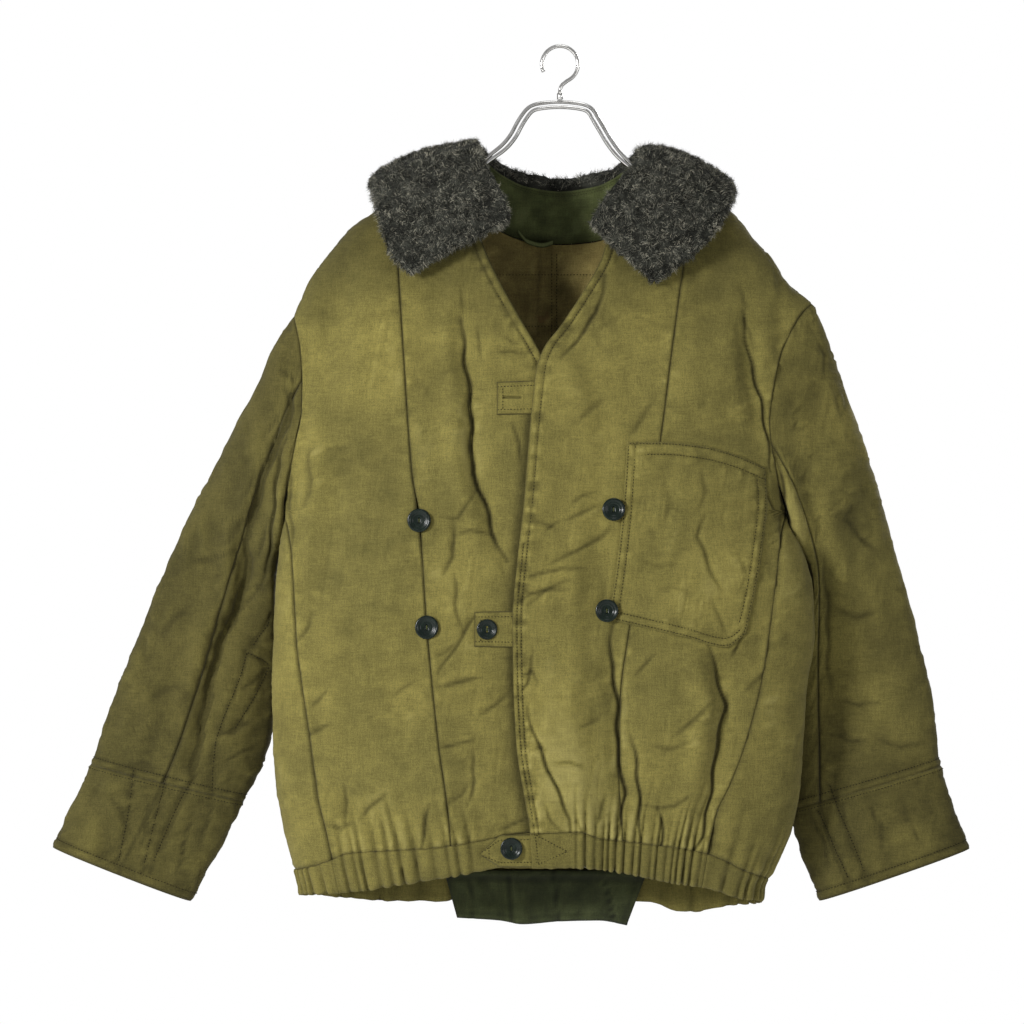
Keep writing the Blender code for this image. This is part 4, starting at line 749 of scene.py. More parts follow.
def hash_noise(cell, seed):
    """Fixed scrambled value from -1 to 1 for each cell of a lattice."""
    mixed = cell[..., 0] * 73856093 ^ cell[..., 1] * 19349663 ^ cell[..., 2] * 83492791 ^ seed * 40503
    mixed = (mixed ^ (mixed >> 13)) * 1274126177 & 0x7FFFFFFF
    mixed = (mixed ^ (mixed >> 16)) * 668265263 & 0x7FFFFFFF
    return (mixed & 0xFFFF) / 32767.5 - 1


def noise(points, size, seed):
    """Smooth uneven height from -1 to 1 that changes over a size in mm."""
    spot = points / np.asarray(size, float)
    cell = np.floor(spot).astype(np.int64)
    part = spot - cell
    part = part**3 * (part * (part * 6 - 15) + 10)
    total = np.zeros(spot.shape[:-1])
    for corner in np.ndindex(2, 2, 2):
        weight = np.where(corner, part, 1 - part).prod(-1)
        total += weight * hash_noise(cell + np.array(corner), seed)
    return total


def crease_relief(creases, x, z):
    """Height of narrow folds, worked out only near each one."""
    total = np.zeros(np.broadcast(x, z).shape)
    for fold in creases:
        path = np.array(fold["path"], float)
        reach = 4 * fold["width"] + 3
        near = (x > path[:, 0].min() - reach) & (x < path[:, 0].max() + reach)
        near &= (z > path[:, 1].min() - reach) & (z < path[:, 1].max() + reach)
        if near.any():
            wobble = 1.2 * np.sin(z[near] / 7 + path[0, 0])
            depth = fold["depth"]
            for deep, wide in ((1.15, 0.5), (0.45, 1.3), (-0.35, 2.6)):
                part = {**fold, "depth": deep * depth, "width": wide * fold["width"]}
                total[near] += fold_relief((part,), x[near] + wobble, z[near])
    return total


def near_line(points, x, z):
    """Distance from a line of points in the front view, and the way along it."""
    near = np.full(np.broadcast(x, z).shape, 1e9)
    along = np.zeros(near.shape)
    run = 0.0
    for start, end in zip(points[:-1], points[1:]):
        length = np.hypot(*(end - start))
        way = (end - start) / length
        step = np.clip((x - start[0]) * way[0] + (z - start[1]) * way[1], 0, length)
        gap = np.hypot(x - start[0] - way[0] * step, z - start[1] - way[1] * step)
        along = np.where(gap < near, run + step, along)
        near = np.minimum(near, gap)
        run += length
    return near, along


def sewn(points, x, z, depth=0.8, width=1.7, pull=0.5, seed=1):
    """Relief of a sewn line: a shallow channel, with short puckers across it."""
    total = np.zeros(np.broadcast(x, z).shape)
    reach = 16
    box = (x > points[:, 0].min() - reach) & (x < points[:, 0].max() + reach)
    box &= (z > points[:, 1].min() - reach) & (z < points[:, 1].max() + reach)
    if box.any():
        gap, along = near_line(points, x[box], z[box])
        ripple = noise(np.stack((along, 0 * along, gap / 3), -1), (5.5, 1.0, 5.0), seed)
        total[box] = -depth * bell(gap, width) + pull * ripple * bell(gap, 6.5) * (1 - 0.7 * bell(gap, 2.5))
    return total


QUILT_LINES_LEFT = (
    from_photo((246, 653), (240, 675), (232, 696), (222, 720), (215, 741), (212, 770), (211, 798)),
    from_photo((246, 653), (260, 660), (268, 666), (260, 684), (252, 700), (242, 716), (232, 733)),
    from_photo((252, 646), (260, 634), (266, 626), (271, 614)),
    from_photo((133, 770), (130, 800), (125, 830), (117, 868)),
    from_photo((190, 783), (180, 800), (168, 826), (150, 870)),
    from_photo((166, 776), (160, 800), (152, 830), (142, 874)),
)
QUILT_LINES_RIGHT = (
    from_photo((819, 811), (827, 828), (835, 848), (852, 886)),
    from_photo((831, 786), (840, 812), (852, 840), (869, 882)),
)


def edge_relief(gap, along, seed, depth=1.5):
    """Relief of a piece beside its seam: rounded down to the seam and pulled into short puckers."""
    ripple = noise(np.stack((along, gap / 4, 0 * gap), -1), (8.0, 6.0, 1.0), seed)
    fine = noise(np.stack((along, gap / 4, 0 * gap), -1), (4.0, 4.0, 1.0), seed + 5)
    pull = bell(gap, 11) * (1 - bell(gap, 1.6))
    return -0.8 * depth * bell(gap, 1.6) + (1.1 * ripple + 0.6 * fine) * pull


# Short wrinkles of padded cloth: how far each set is turned, and the size of its waves
STROKES = ((0.5, (34, 30, 9)), (0.15, (26, 30, 6)), (-0.35, (40, 30, 12)), (1.4, (46, 30, 11)))


def padding(points, seed, amount=1.0):
    """Uneven softness of padded cloth: broad swells and short wrinkles."""
    broad = noise(points, (38, 60, 70), seed)
    middle = noise(points, (17, 30, 26), seed + 1)
    short = noise(points, (8, 12, 6), seed + 2)
    patch = smooth(0.5 + 0.8 * noise(points, (60, 60, 60), seed + 3))
    x, y, z = np.moveaxis(points, -1, 0)
    strokes = 0.0
    for k, (turn, size) in enumerate(STROKES):
        tilted = np.stack((x * math.cos(turn) + z * math.sin(turn), y, z * math.cos(turn) - x * math.sin(turn)), -1)
        wave = noise(tilted, size, seed + 10 + k)
        where = smooth(0.5 + 1.1 * noise(points, (48, 60, 48), seed + 20 + k))
        strokes = strokes + where * (0.75 * wave - 0.9 * smooth((wave - 0.25) / 0.3) * smooth((0.75 - wave) / 0.2))
    return amount * (1.0 * broad + 0.45 * middle + 0.3 * short * patch + 0.85 * strokes)


def make_piece(name, points, faces, look, stands_for=(), tone=None, flat_shaded=False):
    """A mesh piece in the scene that rides on the jacket."""
    data = bpy.data.meshes.new(name)
    data.from_pydata((np.asarray(points).reshape(-1, 3) * MM).tolist(), [], [list(map(int, f)) for f in faces])
    data.polygons.foreach_set("use_smooth", np.full(len(data.polygons), not flat_shaded))
    data.materials.append(look)
    if tone is not None:
        layer = data.attributes.new("tone", "FLOAT", "POINT")
        layer.data.foreach_set("value", np.asarray(tone, np.float32).ravel())
    item = bpy.data.objects.new(f"{name}_shown" if stands_for else name, data)
    bpy.context.scene.collection.objects.link(item)
    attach(item, "root")
    if stands_for:
        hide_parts(*stands_for)
    return item


def grid_faces(columns, rows, ring, offset=0):
    """Quads of a grid of points, as indices."""
    index = np.arange(columns * rows).reshape(columns, rows) + offset
    if ring:
        index = np.concatenate((index, index[:1]))
    return np.stack((index[:-1, :-1], index[1:, :-1], index[1:, 1:], index[:-1, 1:]), -1).reshape(-1, 4)


def wall(name, outer, inner, look, stands_for, ring=False, tone=None):
    """A closed thin wall between two grids, with every second point of the inner grid."""
    columns, rows = outer.shape[:2]
    across = list(range(0, columns, 2))
    along = list(range(0, rows, 2))
    if not ring and across[-1] != columns - 1:
        across.append(columns - 1)
    if along[-1] != rows - 1:
        along.append(rows - 1)
    coarse = np.ix_(across, along)
    front = np.arange(columns * rows).reshape(columns, rows)
    back = front.size + np.arange(len(across) * len(along)).reshape(len(across), len(along))
    out = grid_faces(columns, rows, ring)
    flat = outer.reshape(-1, 3)
    a, b, _, d = out[len(out) // 2]
    facing = np.cross(flat[b] - flat[a], flat[d] - flat[a]) @ (flat[a] - inner.reshape(-1, 3)[a])
    faces = out.tolist() + grid_faces(len(across), len(along), ring, front.size)[:, ::-1].tolist()
    edges = [(front[:, 0], back[:, 0], across, 1, ring), (front[:, -1], back[:, -1], across, -1, ring)]
    if not ring:
        edges += [(front[0], back[0], along, -1, False), (front[-1], back[-1], along, 1, False)]
    for line, under, marks, side, closed in edges:
        line, under, marks = line.tolist(), under.tolist(), list(marks)
        if closed:
            line, under, marks = line + line[:1], under + under[:1], marks + [columns]
        for k in range(len(marks) - 1):
            face = line[marks[k] : marks[k + 1] + 1][::-1] + under[k : k + 2]
            faces.append(face[::side])
    if facing < 0:
        faces = [face[::-1] for face in faces]
    points = np.concatenate((flat, inner[coarse].reshape(-1, 3)))
    if tone is not None:
        tone = np.concatenate((np.ravel(tone), np.ravel(tone[coarse])))
    return make_piece(name, points, faces, look, stands_for, tone)


def runs(points, axis):
    """Distances along one direction of a grid, from its start."""
    steps = np.linalg.norm(np.diff(points, axis=axis), axis=-1)
    zero = np.zeros_like(np.take(steps, [0], axis))
    return np.concatenate((zero, np.cumsum(steps, axis)), axis)


def fine_rows(z, step):
    """Heights of a panel's rows, refined until they lie about a step apart, closest on the shoulder."""
    parts = [z[:, :1]]
    last = z.shape[1] - 2
    for j in range(last + 1):
        near_top = last - j
        least = {0: 6, 1: 5, 2: 4}.get(near_top, 2)
        count = max(least, int(np.ceil(np.abs(z[:, j + 1] - z[:, j]).mean() / step)))
        share = np.arange(1, count + 1) / count
        if near_top == 0:
            share = 1 - (1 - share) ** 2
        parts.append(z[:, j : j + 1] + (z[:, j + 1 : j + 2] - z[:, j : j + 1]) * share)
    return np.concatenate(parts, 1)


def fine_panel(start, end, share, head, starts_free, ends_free, step):
    """Angles and heights of a panel's fine grid."""
    _, z = panel_places(start, end, share, head, starts_free, ends_free)
    z = fine_rows(z, step)
    first = start(z)
    last = end(z)
    first = first + (0 if starts_free else seam_inset(first, z))
    last = last - (0 if ends_free else seam_inset(last, z))
    return first + (last - first) * share[:, None], z


def wall_points(angle, z, height, top=None):
    """Outer points and outward directions of a wall that stands a height out of the body."""
    outward = torso_normal(angle, z)
    base = torso(angle, z)
    if top is not None:
        x = base[:, -1, 0]
        slope = (follow(RIDGE, "x", "z", x + 3) - follow(RIDGE, "x", "z", x - 3)) / 6
        level = unit(np.stack((-slope, 0 * x, 1 + 0 * x), -1))
        shoulder = (x < NECK_LEFT + 0.5) | (x > NECK_RIGHT - 0.5) if top == "neck open" else x < 1e9
        outward[shoulder, -1] = level[shoulder]
        base[shoulder, -1, 1] = 0.0
    return base + outward * height[..., None], outward


def gather_wave(phase, seed):
    """Height of elastic gathers, from tight valleys to round ridges, uneven from one to the next."""
    uneven = np.interp(phase, np.arange(-2, 90), hash_noise(np.stack([np.arange(-2, 90)] * 3, -1), seed))
    phase = phase + 0.34 * uneven
    wave = np.abs(np.sin(math.pi * phase)) ** 0.6
    return (wave - 0.7) * (1 + 0.6 * uneven)


BANDS = {
    "band_left": (seam_edge(SIDE_SEAM_LEFT), seam_edge(FRONT_EDGE_LEFT), 18),
    "band_right": (seam_edge(FRONT_EDGE_RIGHT), seam_edge(SIDE_SEAM_RIGHT), 17),
    "band_back": (seam_edge(SIDE_SEAM_RIGHT), lambda z: seam_edge(SIDE_SEAM_LEFT)(z) + 2 * math.pi, 44),
}


def gathers(band_name, angle, z):
    """Gathers of a band and of the cloth just above it, with the share that lies flat taken out."""
    start, end, waves = BANDS[band_name]
    first, last = start(z), end(z)
    share = (angle - first) / (last - first)
    x = torso(angle, z)[..., 0]
    calm = 0.0
    if band_name == "band_left":
        calm = smooth((x - PLAIN_LEFT_X + 14) / 14)
    if band_name == "band_right":
        calm = 1 - smooth((x - PLAIN_RIGHT_X) / 14)
    ends = smooth(np.minimum(share, 1 - share) * waves)
    return gather_wave(share * waves * (1.35 if band_name == "band_right" else 1.0), 3) * (1 - calm) * ends


def pocket_mask(x, z, grow=0.0):
    """1 on the pocket, 0 off it."""
    left = smooth((x - follow(POCKET_LEFT, "z", "x", z) + grow + 2) / 4)
    right = smooth((follow(POCKET_RIGHT, "z", "x", z) - x + grow + 2) / 4)
    low = smooth((z - follow(POCKET_BOTTOM, "x", "z", x) + grow + 2) / 4)
    high = smooth((follow(POCKET_TOP, "x", "z", x) - z + grow + 2) / 4)
    return left * right * low * high


EDGE_LINES_RIGHT = (
    table_line(FRONT_EDGE_RIGHT, "z", "x", -853, -190, 9.0),
    table_line(FRONT_EDGE_RIGHT, "z", "x", -853, -520, 4.6),
)
EDGE_LINES_LEFT = (table_line(FRONT_EDGE_LEFT, "z", "x", -360, -195, -9.5),)
POCKET_LINES = (
    table_line(POCKET_TOP, "x", "z", 70, 211, -2.0),
    table_line(POCKET_TOP, "x", "z", 78, 212, -13.0),
    table_line(POCKET_LEFT, "z", "x", -597, -418, 2.0),
    table_line(POCKET_LEFT, "z", "x", -597, -418, 9.0),
    table_line(POCKET_BOTTOM, "x", "z", 52, 190, 2.2),
    table_line(POCKET_BOTTOM, "x", "z", 60, 186, 9.5),
    table_line(POCKET_RIGHT, "z", "x", -612, -446, -2.4),
    table_line(POCKET_RIGHT, "z", "x", -602, -452, -10.0),
)


def front_detail(x, z, right):
    """Creases and sewn lines of the fronts over the solids' own folds."""
    on_pocket = pocket_mask(x, z)
    shown = under_ridge(x, z)
    if not right:
        shown = shown * (1 - smooth((x - follow(FRONT_EDGE_RIGHT, "z", "x", z)) / 8))
    detail = crease_relief(FRONT_CREASES, x, z) * (1 - on_pocket) * shown
    if right:
        detail = detail + crease_relief(POCKET_CREASES, x, z) * on_pocket
    lines = EDGE_LINES_RIGHT if right else EDGE_LINES_LEFT
    for i, line in enumerate(lines):
        detail = detail + sewn(line, x, z, 1.3, 1.5, 2.3, 11 + i)
    return detail


def front_skin(x, z, right, offset):
    """Point of the finished front's face, moved out by an offset, with the direction out of it."""
    angle = angle_at(x, z)
    outward = torso_normal(angle, z)
    height = front_height(x, z, right) + front_detail(x, z, right) + offset
    return torso(angle, z) + outward * height[..., None], outward


def crease_shade(drawn):
    """Painted shade at the bottom of creases, more where they are deep."""
    return 0.26 * np.minimum(drawn, 0) + 0.42 * np.minimum(drawn + 2.2, 0)


def body_piece(
    name, start, end, columns, head, right, look, band_name, free="", hole=None, step=4.0, seed=0, tone_shift=0.0
):
    """One panel of the body with its seams, puckers and folds."""
    share = np.linspace(0, 1, columns + 1)
    angle, z = fine_panel(start, end, share, head, free == "start", free == "end", step)
    behind = head is BACK_TOP
    base, outward = wall_points(angle, z, height_out(angle, z, right), "neck open" if behind else "shoulder")
    direction = outward.copy()
    if hole is not None:
        rows = z[hole] > ARMPIT_Z - 0.01
        outward[hole, rows] = armhole_outward(outward[hole, rows], z[hole, rows], right)
    inner = base - BODY_WALL * outward
    drop = 0.7 * SEAM_GAP * smooth((z - ARMPIT_Z + 2) / 2)
    across = runs(base, 0)
    up = runs(base, 1)
    gaps = {"start": across, "end": across[-1:] - across, "foot": up, "head": up[:, -1:] - up}
    x = base[..., 0]
    detail = 0.0
    covered = pocket_mask(x, z, 6.0) if right and not behind else 0.0
    calm = 1 - 0.75 * np.clip(covered, 0, 1)
    hidden = smooth((x - follow(FRONT_EDGE_RIGHT, "z", "x", z)) / 6) if name == "front_left_centre" else 0.0
    soft = padding(base, seed) * calm * (1 - 0.8 * hidden)
    for i, (edge, along) in enumerate((("start", z), ("end", z), ("foot", x))):
        gap = gaps[edge]
        if free == edge:
            detail = detail - 1.6 * bell(gap, 1.7)
            soft = soft * smooth(gap / 6)
        else:
            detail = detail + edge_relief(gap, along, seed + 20 + i) * calm
            soft = soft * smooth(gap / 10)
    rise = gaps["foot"]
    reach = bell(rise, 36 * (1 + 0.7 * noise(base, (10, 200, 300), seed + 31)))
    detail = detail + gathers(band_name, angle, z) * 4.8 * reach * (1 - hidden)
    if not behind:
        drawn = front_detail(x, z, right) * (1 - hidden)
    else:
        drawn = crease_relief(BACK_CREASES, x, z)
    detail = detail + drawn
    detail = detail + soft
    outer = base + direction * np.broadcast_to(detail, x.shape)[..., None]
    for grid in (outer, inner):
        grid[..., 1] += drop if behind else -drop
    # Tone: painted shade along the panel's two side edges, and painted light and shade from the relief, lighter on
    # raised cloth and darker in its hollows; the lighter ridges also take the pale worn colour in the material.
    wear_and_shade = -0.5 * bell(np.minimum(gaps["start"], gaps["end"]), 1.3) + 0.2 * detail
    # Painted shade at the bottom of the creases, weaker on the back, and over the tops of the shoulders, more on the
    # left front.
    shoulder_shade = 0.5 if right or behind else 0.8
    wear_and_shade = wear_and_shade + crease_shade(drawn * (0.4 if behind else 1.0)) - shoulder_shade * smooth((z + 330) / 150)
    # On the right front a broad lighter patch low beside its edge; on the left front a painted shadow beside the right
    # front's edge, which lies over it, fading out at the top and at the hem.
    if not behind:
        beside = follow(FRONT_EDGE_RIGHT, "z", "x", z) - x
        if right:
            wear_and_shade = wear_and_shade + 0.3 * bell(z + 740, 90) * bell(beside + 45, 70)
        else:
            shade = bell(np.maximum(beside, 0), 7) + 0.35 * bell(np.maximum(beside, 0), 26)
            wear_and_shade = wear_and_shade - 0.9 * shade * smooth((-345 - z) / 40) * smooth((z + 880) / 30)
    wear_and_shade = np.clip(wear_and_shade, -2.8, 0.8)
    return wall(name, outer, inner, look, (name,), tone=wear_and_shade + tone_shift), angle, z


def body(cotton):
    """Fronts and back."""
    seam_left = seam_edge(PANEL_SEAM_LEFT)
    seam_right = seam_edge(PANEL_SEAM_RIGHT)
    edge_left = seam_edge(FRONT_EDGE_LEFT)
    edge_right = seam_edge(FRONT_EDGE_RIGHT)

    def hole(right, behind):
        return lambda z: side_edge(z, right, behind)

    def centre(z):
        return CENTRE_BACK + 0 * z

    def centre_from_left(z):
        return centre(z) - 2 * math.pi

    made = {}
    rows = (
        ("front_left_side", hole(False, False), seam_left, 66, RIDGE, False, "band_left", "", 0, 1),
        ("front_left_centre", seam_left, edge_left, 74, RIDGE, False, "band_left", "end", None, 2),
        ("front_right_centre", edge_right, seam_right, 74, RIDGE, True, "band_right", "start", None, 3),
        ("front_right_side", seam_right, hole(True, False), 74, RIDGE, True, "band_right", "", -1, 4),
        ("back_left", centre_from_left, hole(False, True), 84, BACK_TOP, False, "band_back", "", -1, 5),
        ("back_right", hole(True, True), centre, 84, BACK_TOP, True, "band_back", "", 0, 6),
    )
    for name, start, end, columns, head, right, band_name, free, edge, seed in rows:
        step = 5.0 if head is BACK_TOP else 2.7
        made[name] = body_piece(name, start, end, columns, head, right, cotton, band_name, free, edge, step, 40 * seed)
    return made


def band_piece(name, right, look, free=""):
    """One piece of the gathered waistband."""
    start, end, waves = BANDS[name]
    columns = waves * 9
    share = np.linspace(0, 1, columns + 1)[:, None]
    level = np.linspace(0, 1, 12)[None]
    z = np.full((columns + 1, 12), -870.0)
    for _ in range(60):
        first = start(z) + (0 if free == "start" else 0.0007)
        last = end(z) - (0 if free == "end" else 0.0007)
        angle = first + (last - first) * share
        x = torso(angle, z)[..., 0]
        head = around(FRONT_WAIST, BACK_WAIST, angle, x) - SEAM_GAP / 2
        foot = around(FRONT_HEM, BACK_HEM, angle, x)
        z = z + 0.6 * (foot + (head - foot) * level - z)
    x = torso(angle, z)[..., 0]
    lift = LAP_RAISE * lap(x, z) * np.clip(np.sin(angle) * 9, 0, 1) if right else 0 * x
    base, outward = wall_points(angle, z, lift)
    wave = gathers(name, angle, z)
    wave = wave * (1 + 0.5 * noise(base, (14, 14, 10), 73))
    up = runs(base, 1)
    rim = bell(up, 1.6) * 1.1 + bell(up[:, -1:] - up, 1.8) * 1.3
    soft = 0.45 * noise(base, (5, 5, 9), 71) + 0.6 * noise(base, (9, 9, 14), 72)
    outer = base + outward * (wave * 5.0 * (1 - 0.25 * level) - rim + soft)[..., None]
    beside_flap = smooth((np.abs(x + 14) - 118) / 15) if name == "band_back" else 0.0
    inner = base + outward * (wave * (2.2 + 2.4 * beside_flap) - BAND_WALL)[..., None]
    for grid in (outer, inner):
        grid[..., 2] -= (2.2 * wave + 0.8 * soft) * (1 - level) ** 3
    # Tone: painted shade in the gathers' valleys and a little over the whole band, lighter on the gathers' ridges.
    return wall(name, outer, inner, look, (name,), tone=np.clip(0.8 * wave, -0.9, 0.3) - 0.3)


def sleeve_ring(right, parts):
    """Fine armhole ring: outer points and inward directions, from the shoulder over the front to the armpit."""
    side = -1.0 if right else 1.0
    hole = ARMHOLE_RIGHT if right else ARMHOLE_LEFT
    heights = np.full(1 + len(SHARES_ABOVE) + len(RIDGE_DROPS), ARMPIT_Z + 20.0)
    for _ in range(70):
        head = follow(RIDGE, "x", "z", follow(hole, "z", "x", heights))
        rows = np.diagonal(row_heights(ARMPIT_Z - 100.0 + 0 * head, head)[:, ROWS_BELOW:])
        heights = heights + 0.6 * (rows - heights)
    last = len(heights) - 1
    at = np.arange(last * parts + 1) / parts
    share = at.copy()
    share[at > last - 1] = last - (last - at[at > last - 1]) ** 2
    heights = np.interp(share, np.arange(last + 1), heights)
    rings = []
    for behind in (False, True):
        x = follow(hole, "z", "x", heights)
        angle = angle_at(x, heights, behind)
        angle[0] = math.pi if right else 0.0
        lean = (-1.0 if behind else 1.0) * side
        angle[1:] -= lean * seam_inset(angle, heights)[1:]
        outward = torso_normal(angle, heights)
        outer = torso(angle, heights) + outward * height_out(angle, heights, right)[..., None]
        outer[0] += np.array((-0.25 * side, 0.0, 0.9))
        outward = armhole_outward(outward, heights, right)
        slope = (follow(RIDGE, "x", "z", x[-1] + 3) - follow(RIDGE, "x", "z", x[-1] - 3)) / 6
        outward[-1] = unit(np.array((-slope, 0.0, 1.0)))
        outer[-1, 1] = 0.0
        rings.append((outer, outward))
    front, back = rings
    outer = np.concatenate((front[0][::-1], back[0][1:-1]))
    outward = np.concatenate((front[1][::-1], back[1][1:-1]))
    return outer, outward


def sleeve_grid(right, shares, parts):
    """Base points, outward directions and turns of the fine sleeve."""
    lines = SLEEVE_RIGHT if right else SLEEVE_LEFT
    folds = SLEEVE_FOLDS_RIGHT if right else SLEEVE_FOLDS_LEFT
    ring, outward = sleeve_ring(right, parts)
    count = len(ring)
    half = count // 2
    top, foot = lines["outer_z"][0], lines["inner_z"][0]
    lift = np.clip((ring[:, 2] - foot) / (top - foot) * 2 - 1, -1, 1)
    first = np.arccos(lift)
    first[half + 1 :] = 2 * math.pi - first[half + 1 :]
    seam = math.radians(126 if right else 88)
    step = parts * (UPPER_STEPS_RIGHT if right else UPPER_STEPS_LEFT)
    marks = (0, step, half, count - step, count)
    even = np.interp(np.arange(count + 1), marks, (0, seam, math.pi, 2 * math.pi - seam, 2 * math.pi))[:-1]
    blend = smooth(shares / SLEEVE_BLEND)
    turn = first[:, None] + (even - first)[:, None] * blend
    share = np.broadcast_to(shares, turn.shape)
    points = sleeve_tube(lines, share, turn)
    start = ring - sleeve_tube(lines, np.zeros(count), first)
    points = points + start[:, None] * (1 - blend)[:, None]
    front = np.clip(np.sin(turn), 0, 1)
    points[..., 1] -= fold_relief(folds, points[..., 0], points[..., 2]) * front**0.5 * smooth(shares / 0.2)
    points[:, 1:] = clear_of_body(points[:, 1:], SLEEVE_CLEAR)
    down = np.gradient(points, axis=1)
    round_ = np.roll(points, -2, axis=0) - np.roll(points, 2, axis=0)
    normal = unit(np.cross(round_, down) if right else np.cross(down, round_))
    for _ in range(3):
        normal = unit(normal + 0.5 * (np.roll(normal, 1, axis=0) + np.roll(normal, -1, axis=0)))
    early = smooth(shares / 0.02)[None, :, None]
    normal = unit(outward[:, None] * (1 - early) + normal * early)
    return points, normal, turn, front


SLEEVE_PARTS = 7
# Painted shade along each sleeve, as tone by share of its length: less light falls on the sleeves than on the body.
SLEEVE_LIGHT = {
    "left": ((0.0, 0.3, 0.5, 0.75, 1.0), (-0.85, -0.9, -1.0, -0.92, -0.92)),
    "right": ((0.0, 0.3, 0.5, 0.75, 1.0), (-0.45, -0.3, -0.25, -0.8, -0.9)),
}
ARMPIT_BULGE_LEFT = 6.0
ARMPIT_BULGE_RIGHT = 11.0


def laid_on(line, grid, outward, front):
    """Points of a line in the front view, put on the front face of a grid."""
    face = front > 0.15
    points, ways = grid[face], outward[face]
    made = []
    for x, z in line:
        weight = np.exp(-(((points[:, 0] - x) ** 2 + (points[:, 2] - z) ** 2) / 12.0)) + 1e-12
        share = weight / weight.sum()
        made.append(((x, share @ points[:, 1], z), share @ ways))
    return np.array([p for p, _ in made]), unit(np.array([w for _, w in made]))


def sleeve(side, right, look):
    """Upper and under sleeve and the cuff, with their creases."""
    creases = SLEEVE_CREASES_RIGHT if right else SLEEVE_CREASES_LEFT
    arm = CUFF_SHARE * np.linspace(0, 1, 150) ** 1.08
    cuff = np.linspace(CUFF_SHARE, 1.0, 30)[1:]
    shares = np.concatenate((arm, cuff))
    base, outward, turn, front = sleeve_grid(right, shares, SLEEVE_PARTS)
    seed = 300 if right else 200
    last = len(arm) - 1
    down = runs(base, 1)
    step = SLEEVE_PARTS * (UPPER_STEPS_RIGHT if right else UPPER_STEPS_LEFT)
    count = len(base)
    around_it = runs(np.concatenate((base, base[:1])), 0)[:-1]
    whole = around_it[-1:] + 3
    seams = [np.abs(around_it - around_it[k : k + 1]) for k in (step, count - step)]
    gap = np.minimum(*seams)
    gap = np.minimum(gap, np.minimum(*[np.abs(whole - s) for s in seams]))
    cap = down
    cuff_gap = np.abs(down - down[:, last : last + 1])
    hem = down[:, -1:] - down
    x, z = base[..., 0], base[..., 2]
    drawn = crease_relief(creases, x, z)
    for i, line in enumerate(QUILT_LINES_RIGHT if right else QUILT_LINES_LEFT):
        drawn = drawn + sewn(np.array(line), x, z, 1.6, 2.2, 1.2, seed + 60 + i)
    drawn = drawn * front**0.4 + 0.7 * crease_relief(creases, x + 4, z + 22) * np.clip(-np.sin(turn), 0, 1) ** 0.5
    drawn = drawn * smooth(cap / 14)
    detail = drawn
    on_arm = np.where(down > down[:, last : last + 1], 0.3, 1)
    detail = detail + edge_relief(gap, down, seed + 1) * smooth(cap / 10) * on_arm
    detail = detail + edge_relief(cap, around_it, seed + 2)
    detail = detail + edge_relief(cuff_gap, around_it, seed + 3, 1.3)
    rows = bell(cuff_gap - 8, 1.5) * np.where(down > down[:, last : last + 1], 0.3, 0.7)
    rows = rows + 0.8 * bell(hem - 10, 1.6)
    rows = rows + 1.4 * bell(hem, 1.8)
    ripple = noise(np.stack((around_it, down / 4, 0 * down), -1), (7, 5, 1), seed + 4)
    detail = detail - rows + 0.5 * ripple * bell(hem - 8, 7)
    soft = padding(base, seed, 1.5) * smooth(cap / 12) * smooth(gap / 10) * smooth(cuff_gap / 9) * smooth(hem / 9)
    long_ = noise(base * (1, 1, 0.35), (14, 20, 16), seed + 9) * 0.8 * smooth(down / 60)
    bulge = ARMPIT_BULGE_RIGHT if right else ARMPIT_BULGE_LEFT
    detail = detail + bulge * bell(shares - 0.09, 0.08) * np.clip(-np.cos(turn), 0, 1) ** 2 * smooth(cap / 12)
    detail = detail + soft + long_ * smooth(gap / 10) * smooth(cuff_gap / 9) * smooth(hem / 9)
    outer = base + outward * detail[..., None]
    inner = base - BODY_WALL * outward
    # Tone: painted shade in the seam grooves, the creases and the sewn rows, lighter on raised cloth and darker in its
    # hollows, then the painted shade along the sleeve.
    tone = -0.5 * bell(gap, 1.5) + 0.2 * detail + crease_shade(drawn)
    light = np.interp(shares, *SLEEVE_LIGHT[side])
    tone = np.clip(tone - 0.35 * rows, -2.4, 0.7) + light
    order = np.arange(count)
    under = order[step : count - step + 1]
    upper = np.concatenate((order[count - step :], order[: step + 1]))
    for name, pick in ((f"sleeve_{side}_upper", upper), (f"sleeve_{side}_under", under)):
        walls = [outer[pick][:, : last + 1].copy(), inner[pick][:, : last + 1].copy()]
        for grid in walls:
            grid[0] += unit(grid[1] - grid[0]) * SEAM_GAP / 2
            grid[-1] += unit(grid[-2] - grid[-1]) * SEAM_GAP / 2
        wall(name, walls[0], walls[1], look, (name,), tone=tone[pick][:, : last + 1])
    wall(
        f"cuff_{side}",
        outer[:, last:],
        (base - CUFF_WALL * outward)[:, last:],
        look,
        (f"cuff_{side}",),
        ring=True,
        tone=tone[:, last:],
    )
    lines = []
    for row, shift in ((last, 8.0), (last, -4.0), (len(shares) - 1, 10.0)):
        target = down[:, row : row + 1] - shift
        spot = [np.array([np.interp(target[i, 0], down[i], outer[i, :, k]) for k in range(3)]) for i in range(count)]
        way = [np.array([np.interp(target[i, 0], down[i], outward[i, :, k]) for k in range(3)]) for i in range(count)]
        lines.append((np.array(spot + spot[:1]), np.array(way + way[:1])))
    for line in QUILT_LINES_RIGHT if right else QUILT_LINES_LEFT:
        dense = [np.linspace(a, b, 6)[:-1] for a, b in zip(np.array(line[:-1]), np.array(line[1:]))]
        lines.append(laid_on(np.concatenate(dense), outer, outward, front))
    return lines


